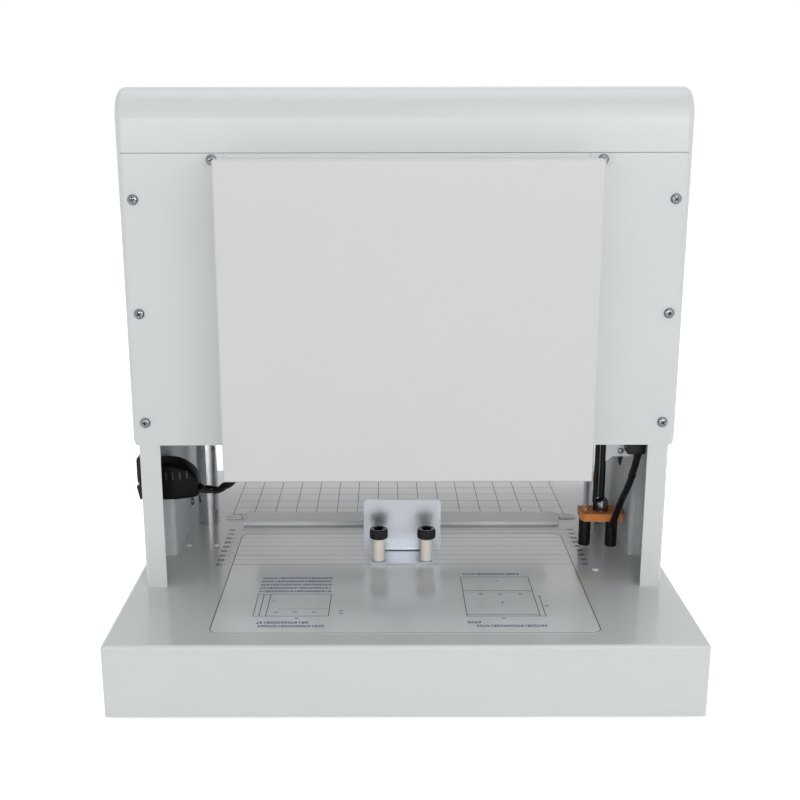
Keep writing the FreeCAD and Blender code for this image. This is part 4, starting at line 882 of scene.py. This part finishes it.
class RIVETER_OT_inlet_rim(bpy.types.Operator):
    """Mould the raised rim round the inlet's socket and the cap on its rocker"""
    bl_idname = "riveter.inlet_rim"
    bl_label = "Inlet rim"

    def execute(self, context):
        def corners(y0, y1, z0, z1, r):
            """Rectangle with round corners, in millimetres."""
            start = ((y0 + y1) / 2, z0)
            return rounded([start, (y0, z0, r), (y0, z1, r), (y1, z1, r), (y1, z0, r), start])[:-1]

        root_x, rim_x = -246.0, -249.2
        outer = corners(-89.7, -60.3, 160.7, 185.0, 2.0)
        inner = corners(-88.3, -61.7, 163.8, 183.2, 1.0)
        form = bmesh.new()
        loops = [[form.verts.new(Vector((x, y, z)) * MM) for y, z in ring]
                 for x, ring in ((root_x, outer), (rim_x, outer), (rim_x, inner), (root_x, inner))]
        for a, b in zip(loops, loops[1:] + loops[:1]):
            band(form, a, b)
        show("socket_rim", form, "black_plastic", bevel=0.5 * MM)

        # The cap's side view, (x, z), stands out further at its upper end, as the switch is tilted.
        side_view = [(-246, 142.6), (-249.4, 141.8), (-250.6, 147), (-251.5, 151.8), (-252.3, 155.0),
                     (-251.6, 155.8), (-246, 156)]
        form = bmesh.new()
        ends = [[form.verts.new(Vector((x, y, z)) * MM) for x, z in side_view] for y in (-82.2, -67.8)]
        form.faces.new(ends[0])
        form.faces.new(ends[1][::-1])
        band(form, *ends)
        # Three raised bars for the finger on the rocker's lower half.
        for z in (145.2, 146.8, 148.4):
            block(form, *mm(-251.0, -249.6, -79.5, -70.5, z, z + 0.6))
        show("rocker_cap", form, "black_plastic", "rocker", bevel=0.3 * MM)
        return {"FINISHED"}


class RIVETER_OT_table_print(bpy.types.Operator):
    """Print the table with lines, figures, plain diagrams and a grid, and set its stops and three small white
    domes
    """
    bl_idname = "riveter.table_print"
    bl_label = "Table print"

    def execute(self, context):
        sizes = context.scene.riveter_print
        width = sizes.line_width
        ink_lift = 0.05 * MM

        def level(y):
            """Height of the print: on the film, or beyond it on the paint."""
            return (film_high.z if y < film_high.y else table_z) + ink_lift

        def stroke(form, x0, y0, x1, y1, wide=width):
            """A printed line between two places in millimetres."""
            a, b = Vector((x0, y0)) * MM, Vector((x1, y1)) * MM
            side = (b - a).normalized().orthogonal() * wide / 2
            z = level(min(a.y, b.y))
            form.faces.new([form.verts.new((*p, z)) for p in (a - side, b - side, b + side, a + side)])

        def ring(form, dots, wide):
            """A closed line through places in millimetres."""
            for k in range(len(dots)):
                stroke(form, *dots[k], *dots[(k + 1) % len(dots)], wide)

        def number(form, text, x, y, tall):
            """Figures centred on a place in millimetres, upright for someone on the operator's side."""
            line = bpy.data.curves.new("digits", "FONT")
            line.body = text
            line.size = tall * 1.4
            line.offset = 0.03 * tall
            line.align_x = "CENTER"
            line.align_y = "CENTER"
            line.resolution_u = 3
            thing = put("digits", line)
            context.view_layer.update()
            mesh = bpy.data.meshes.new_from_object(thing)
            seat = Matrix.Translation((x * MM, y * MM, level(y * MM)))
            stamp(form, mesh, seat @ Matrix.Rotation(math.pi, 4, "Z"))
            bpy.data.objects.remove(thing)
            bpy.data.curves.remove(line)
            bpy.data.meshes.remove(mesh)

        # The film's outline, set in by half a line.
        inset = width / 2 / MM
        x1 = film_high.x / MM - inset
        y0 = film_low.y / MM + inset
        y1 = film_high.y / MM - inset
        r = 9.0 - inset
        outline = []
        for cx, cy, start in ((x1 - r, y1 - r, 0), (-x1 + r, y1 - r, 90), (-x1 + r, y0 + r, 180),
                              (x1 - r, y0 + r, 270)):
            for turn in (math.radians(start + 15 * s) for s in range(7)):
                outline.append((cx + r * math.cos(turn), cy + r * math.sin(turn)))
        form = bmesh.new()
        ring(form, outline, width)

        # Ruled lines across, with a tick and a number at each end. They are longer beyond the film.
        rules, first_rule, on_film, on_paint = 9, 28.8, 165.5, 171.0
        tick_from, tick_to, figure_x = 173, 175.2, 179.5
        figures = bmesh.new()
        for k in range(rules):
            y = first_rule - k * sizes.ruled_pitch / MM
            reach = on_film if y < film_high.y / MM else on_paint
            stroke(form, -reach, y, reach, y, width * (0.8 if k % 2 == 0 else 0.45))
            for side in (-1, 1):
                stroke(form, side * tick_from, y + 0.01, side * tick_to, y + 0.01, width)
                number(figures, str(10 * (rules - k)), side * figure_x, y, sizes.digit_height)
        show("ruled_lines", form, "ink", sharp=180)
        show("side_numbers", figures, "ink", sharp=180)

        # Left diagram: a page with two dimension lines. Right diagram: a page under a cover flap, with its
        # dimension line. Each row is one line from x, y to x, y.
        left = ((-121.6, -137, -66.3, -137), (-66.3, -137, -66.8, -183.4), (-66.8, -183.4, -121.8, -183.4),
                (-121.8, -183.4, -121.6, -137), (-133, -137, -133, -182.5), (-127.8, -137, -127.8, -183.4),
                (-134.6, -137, -120, -137), (-134.6, -183.4, -120, -183.4))
        right = ((54.6, -98.5, 118.6, -98.5), (118.6, -98.5, 118.6, -184), (118.6, -184, 54.6, -184),
                 (54.6, -184, 54.6, -98.5), (54.6, -129.5, 118.6, -129.5), (123.5, -141.9, 123.5, -184),
                 (118.6, -184, 125.5, -184), (121.5, -141.9, 125.5, -141.9), (54.6, -180.5, 118.6, -180.5))
        form = bmesh.new()
        for line in left + right:
            stroke(form, *line, width * 0.9)
        # Each page has a dashed line (the first dash's ends, the pitch and y) and three holes.
        for k in range(14):
            for x0, x1, pitch, y in ((-112, -110, 3.2, -168.8), (57, 59.4, 4.4, -133)):
                stroke(form, x0 + pitch * k, y, x1 + pitch * k, y, width * 0.7)
        hole_r = 1.6
        for x, y in ((-113.4, -175.6), (-96.8, -175.6), (-79.9, -175.6), (70.5, -137.4), (88.5, -137.4),
                     (106.6, -137.4)):
            ring(form, regular(20, hole_r, at=(x, y)), width * 0.7)
        show("page_diagrams", form, "ink", sharp=180)

        # Rows of plain figures in place of small print: y, x, width and count.
        figures = bmesh.new()
        rows = [(-100 - 7.6 * k, -100, 76, 23) for k in range(5)]
        rows += [(-196, -106, 52, 15), (-203, -98, 66, 20), (-91, 84, 62, 19), (-196, 60, 14, 4),
                 (-203, 92, 70, 21)]
        for row, (y, x, wide, count) in enumerate(rows):
            text = "".join(str((3 * k + 7 * row) % 10) for k in range(count))
            number(figures, text, x, y, wide / count * 1.25 * MM)
        for text, x, y, tall in (("1", -117.5, -152, 3.2), ("20", -94, -188.2, 2.6), ("40", -56, -172, 2.6),
                                 ("30", -56, -177.5, 2.6), ("1", 88.8, -106.8, 3.6), ("2", 88.6, -155.6, 3.6),
                                 ("20", 86.5, -188.2, 2.6), ("50", 127.5, -163, 2.6)):
            number(figures, text, x, y, tall * MM)
        show("print_numbers", figures, "blue_ink", sharp=180)

        # White stops at the strip's ends, and three small white domes on the table.
        stop_from, stop_to, stop_near, stop_far, stop_tall = 173, 190.5, 62, 70.5, 1.6
        form = bmesh.new()
        for side in (-1, 1):
            x0, x1 = sorted((side * stop_from, side * stop_to))
            block(form, *mm(x0, x1, stop_near, stop_far), table_z, table_z + stop_tall * MM)
        show("strip_stops", form, "pad_white", bevel=0.4 * MM)
        form = bmesh.new()
        dome = profile((3.1, 0), (3.1, 0.5, 0.2), (2.4, 1.0, 0.5), (0, 1.3))
        for x, y in ((-217.8, -14.7), (-189.6, -14.7), (186.1, -80)):
            lathe(form, dome, Matrix.Translation((x * MM, y * MM, table_z)), 32)
        show("table_white_domes", form, "pad_white")

        # The operator's half: squares with a ruler along the strip.
        pitch, ruler_share, middle = sizes.grid_pitch / MM, 4.56, -2.4
        near, far, half_grid, half_cross, half_ruler = strip_far / MM + 2.5, 231, 196, 186, 184
        form = bmesh.new()
        for k in range(-8, 9):
            x = middle + k * pitch
            if abs(x) < half_grid:
                stroke(form, x, near, x, far, width * 1.1)
        for k in range(7):
            y = near + k * pitch
            stroke(form, -half_cross, y, half_cross, y, width * (1.6 if k == 0 else 0.9))
        for k in range(-36, 37):
            x = middle + k * pitch / ruler_share
            if abs(x) < half_ruler:
                stroke(form, x, near, x, near + (3.4 if k % 5 == 0 else 2.0), width * 0.8)
        show("operator_grid", form, "ink", sharp=180)
        return {"FINISHED"}


def seen_straight(tree):
    """1 for what the camera sees, straight, mirrored or through glass, and 0 for light on the object."""
    light = add(tree, "ShaderNodeLightPath").outputs
    seen = add(tree, "ShaderNodeMath", {0: light["Is Camera Ray"], 1: light["Is Glossy Ray"]},
               operation="MAXIMUM")
    return add(tree, "ShaderNodeMath", {0: seen.outputs[0], 1: light["Is Transmission Ray"]},
               operation="MAXIMUM").outputs[0]


class RIVETER_OT_stage(bpy.types.Operator):
    """Set the pale floor, the white surroundings and the soft studio lamps"""
    bl_idname = "riveter.stage"
    bl_label = "Studio"

    def execute(self, context):
        scene = context.scene
        settings = scene.riveter_studio
        scene.view_settings.view_transform = "Standard"

        # The surroundings and the floor look white to the camera, but light the object more weakly.
        world_light, floor_glow = 0.53, 0.62
        world = bpy.data.worlds.new("white studio")
        world.use_nodes = True
        tree = world.node_tree
        tree.nodes.clear()
        strength = add(tree, "ShaderNodeMapRange", {"Value": seen_straight(tree), "To Min": world_light,
                                                    "To Max": 1.0})
        ground = add(tree, "ShaderNodeBackground", {"Color": (1, 1, 1, 1), "Strength": strength.outputs[0]})
        add(tree, "ShaderNodeOutputWorld", {"Surface": ground.outputs[0]})
        scene.world = world

        made, tree, shader, place = begin("Paper sweep, white", Roughness=0.9)
        tint = mottle(tree, place, 400, linear("F4F4F4"), linear("FAFAFA"))[0]
        tree.links.new(tint, shader.inputs["Base Color"])
        glow = add(tree, "ShaderNodeMath", {0: seen_straight(tree), 1: floor_glow}, operation="MULTIPLY")
        tree.links.new(glow.outputs[0], shader.inputs["Emission Strength"])
        shader.inputs["Emission Color"].default_value = (1, 1, 1, 1)
        reach = 6
        form = bmesh.new()
        form.faces.new([form.verts.new((x * reach, y * reach, 0)) for x, y in SQUARE])
        floor = put("floor", mesh_of("floor", form))
        floor.data.materials.append(made)

        # Each lamp's name, place, size and power. All face the machine's middle.
        aim = Vector((0, 0, 0.28))
        for name, place, size, power in (
                ("key", (0.9, -2.4, 1.5), (1.6, 1.6), settings.key_power),
                ("long", (0.2, -2.6, 0.64), (3.4, 0.2), settings.long_power),
                ("fill_left", (-2.3, -0.8, 1.0), (1.4, 1.4), settings.fill_power),
                ("fill_right", (2.3, -0.8, 1.0), (1.4, 1.4), settings.fill_power),
                ("top", (0, 0.3, 2.6), (1.8, 1.8), settings.top_power),
                ("operator", (0.4, 2.4, 1.6), (1.8, 1.8), settings.back_power)):
            lamp = bpy.data.lights.new(name, "AREA")
            lamp.shape = "RECTANGLE"
            lamp.size, lamp.size_y = size
            lamp.energy = power
            away = Vector(place) - aim
            put(name, lamp).matrix_world = (Matrix.Translation(place)
                                            @ away.to_track_quat("Z", "Y").to_matrix().to_4x4())
        return {"FINISHED"}


STEPS = (RIVETER_OT_camera, RIVETER_OT_finishes, RIVETER_OT_wiring, RIVETER_OT_screws, RIVETER_OT_gauge,
         RIVETER_OT_lamp_group, RIVETER_OT_boot, RIVETER_OT_inlet_rim, RIVETER_OT_table_print,
         RIVETER_OT_stage)


class RIVETER_PT_panel(bpy.types.Panel):
    """Lists the machine's pieces and their sizes"""
    bl_idname = "RIVETER_PT_panel"
    bl_label = "Document riveting machine"
    bl_space_type = "VIEW_3D"
    bl_region_type = "UI"
    bl_category = "Riveter"

    def draw(self, context):
        for step in STEPS:
            self.layout.operator(step.bl_idname)
        for name, group in GROUPS.items():
            box = self.layout.box()
            for field in group.__annotations__:
                box.prop(getattr(context.scene, name), field)


def register():
    for name, group in GROUPS.items():
        bpy.utils.register_class(group)
        setattr(bpy.types.Scene, name, PointerProperty(type=group))
    for step in STEPS:
        bpy.utils.register_class(step)
    bpy.utils.register_class(RIVETER_PT_panel)


def unregister():
    bpy.utils.unregister_class(RIVETER_PT_panel)
    for step in reversed(STEPS):
        bpy.utils.unregister_class(step)
    for name, group in reversed(GROUPS.items()):
        delattr(bpy.types.Scene, name)
        bpy.utils.unregister_class(group)


def main():
    register()
    for step in STEPS:
        group, name = step.bl_idname.split(".")
        getattr(getattr(bpy.ops, group), name)()


if __name__ == "__main__":
    main()
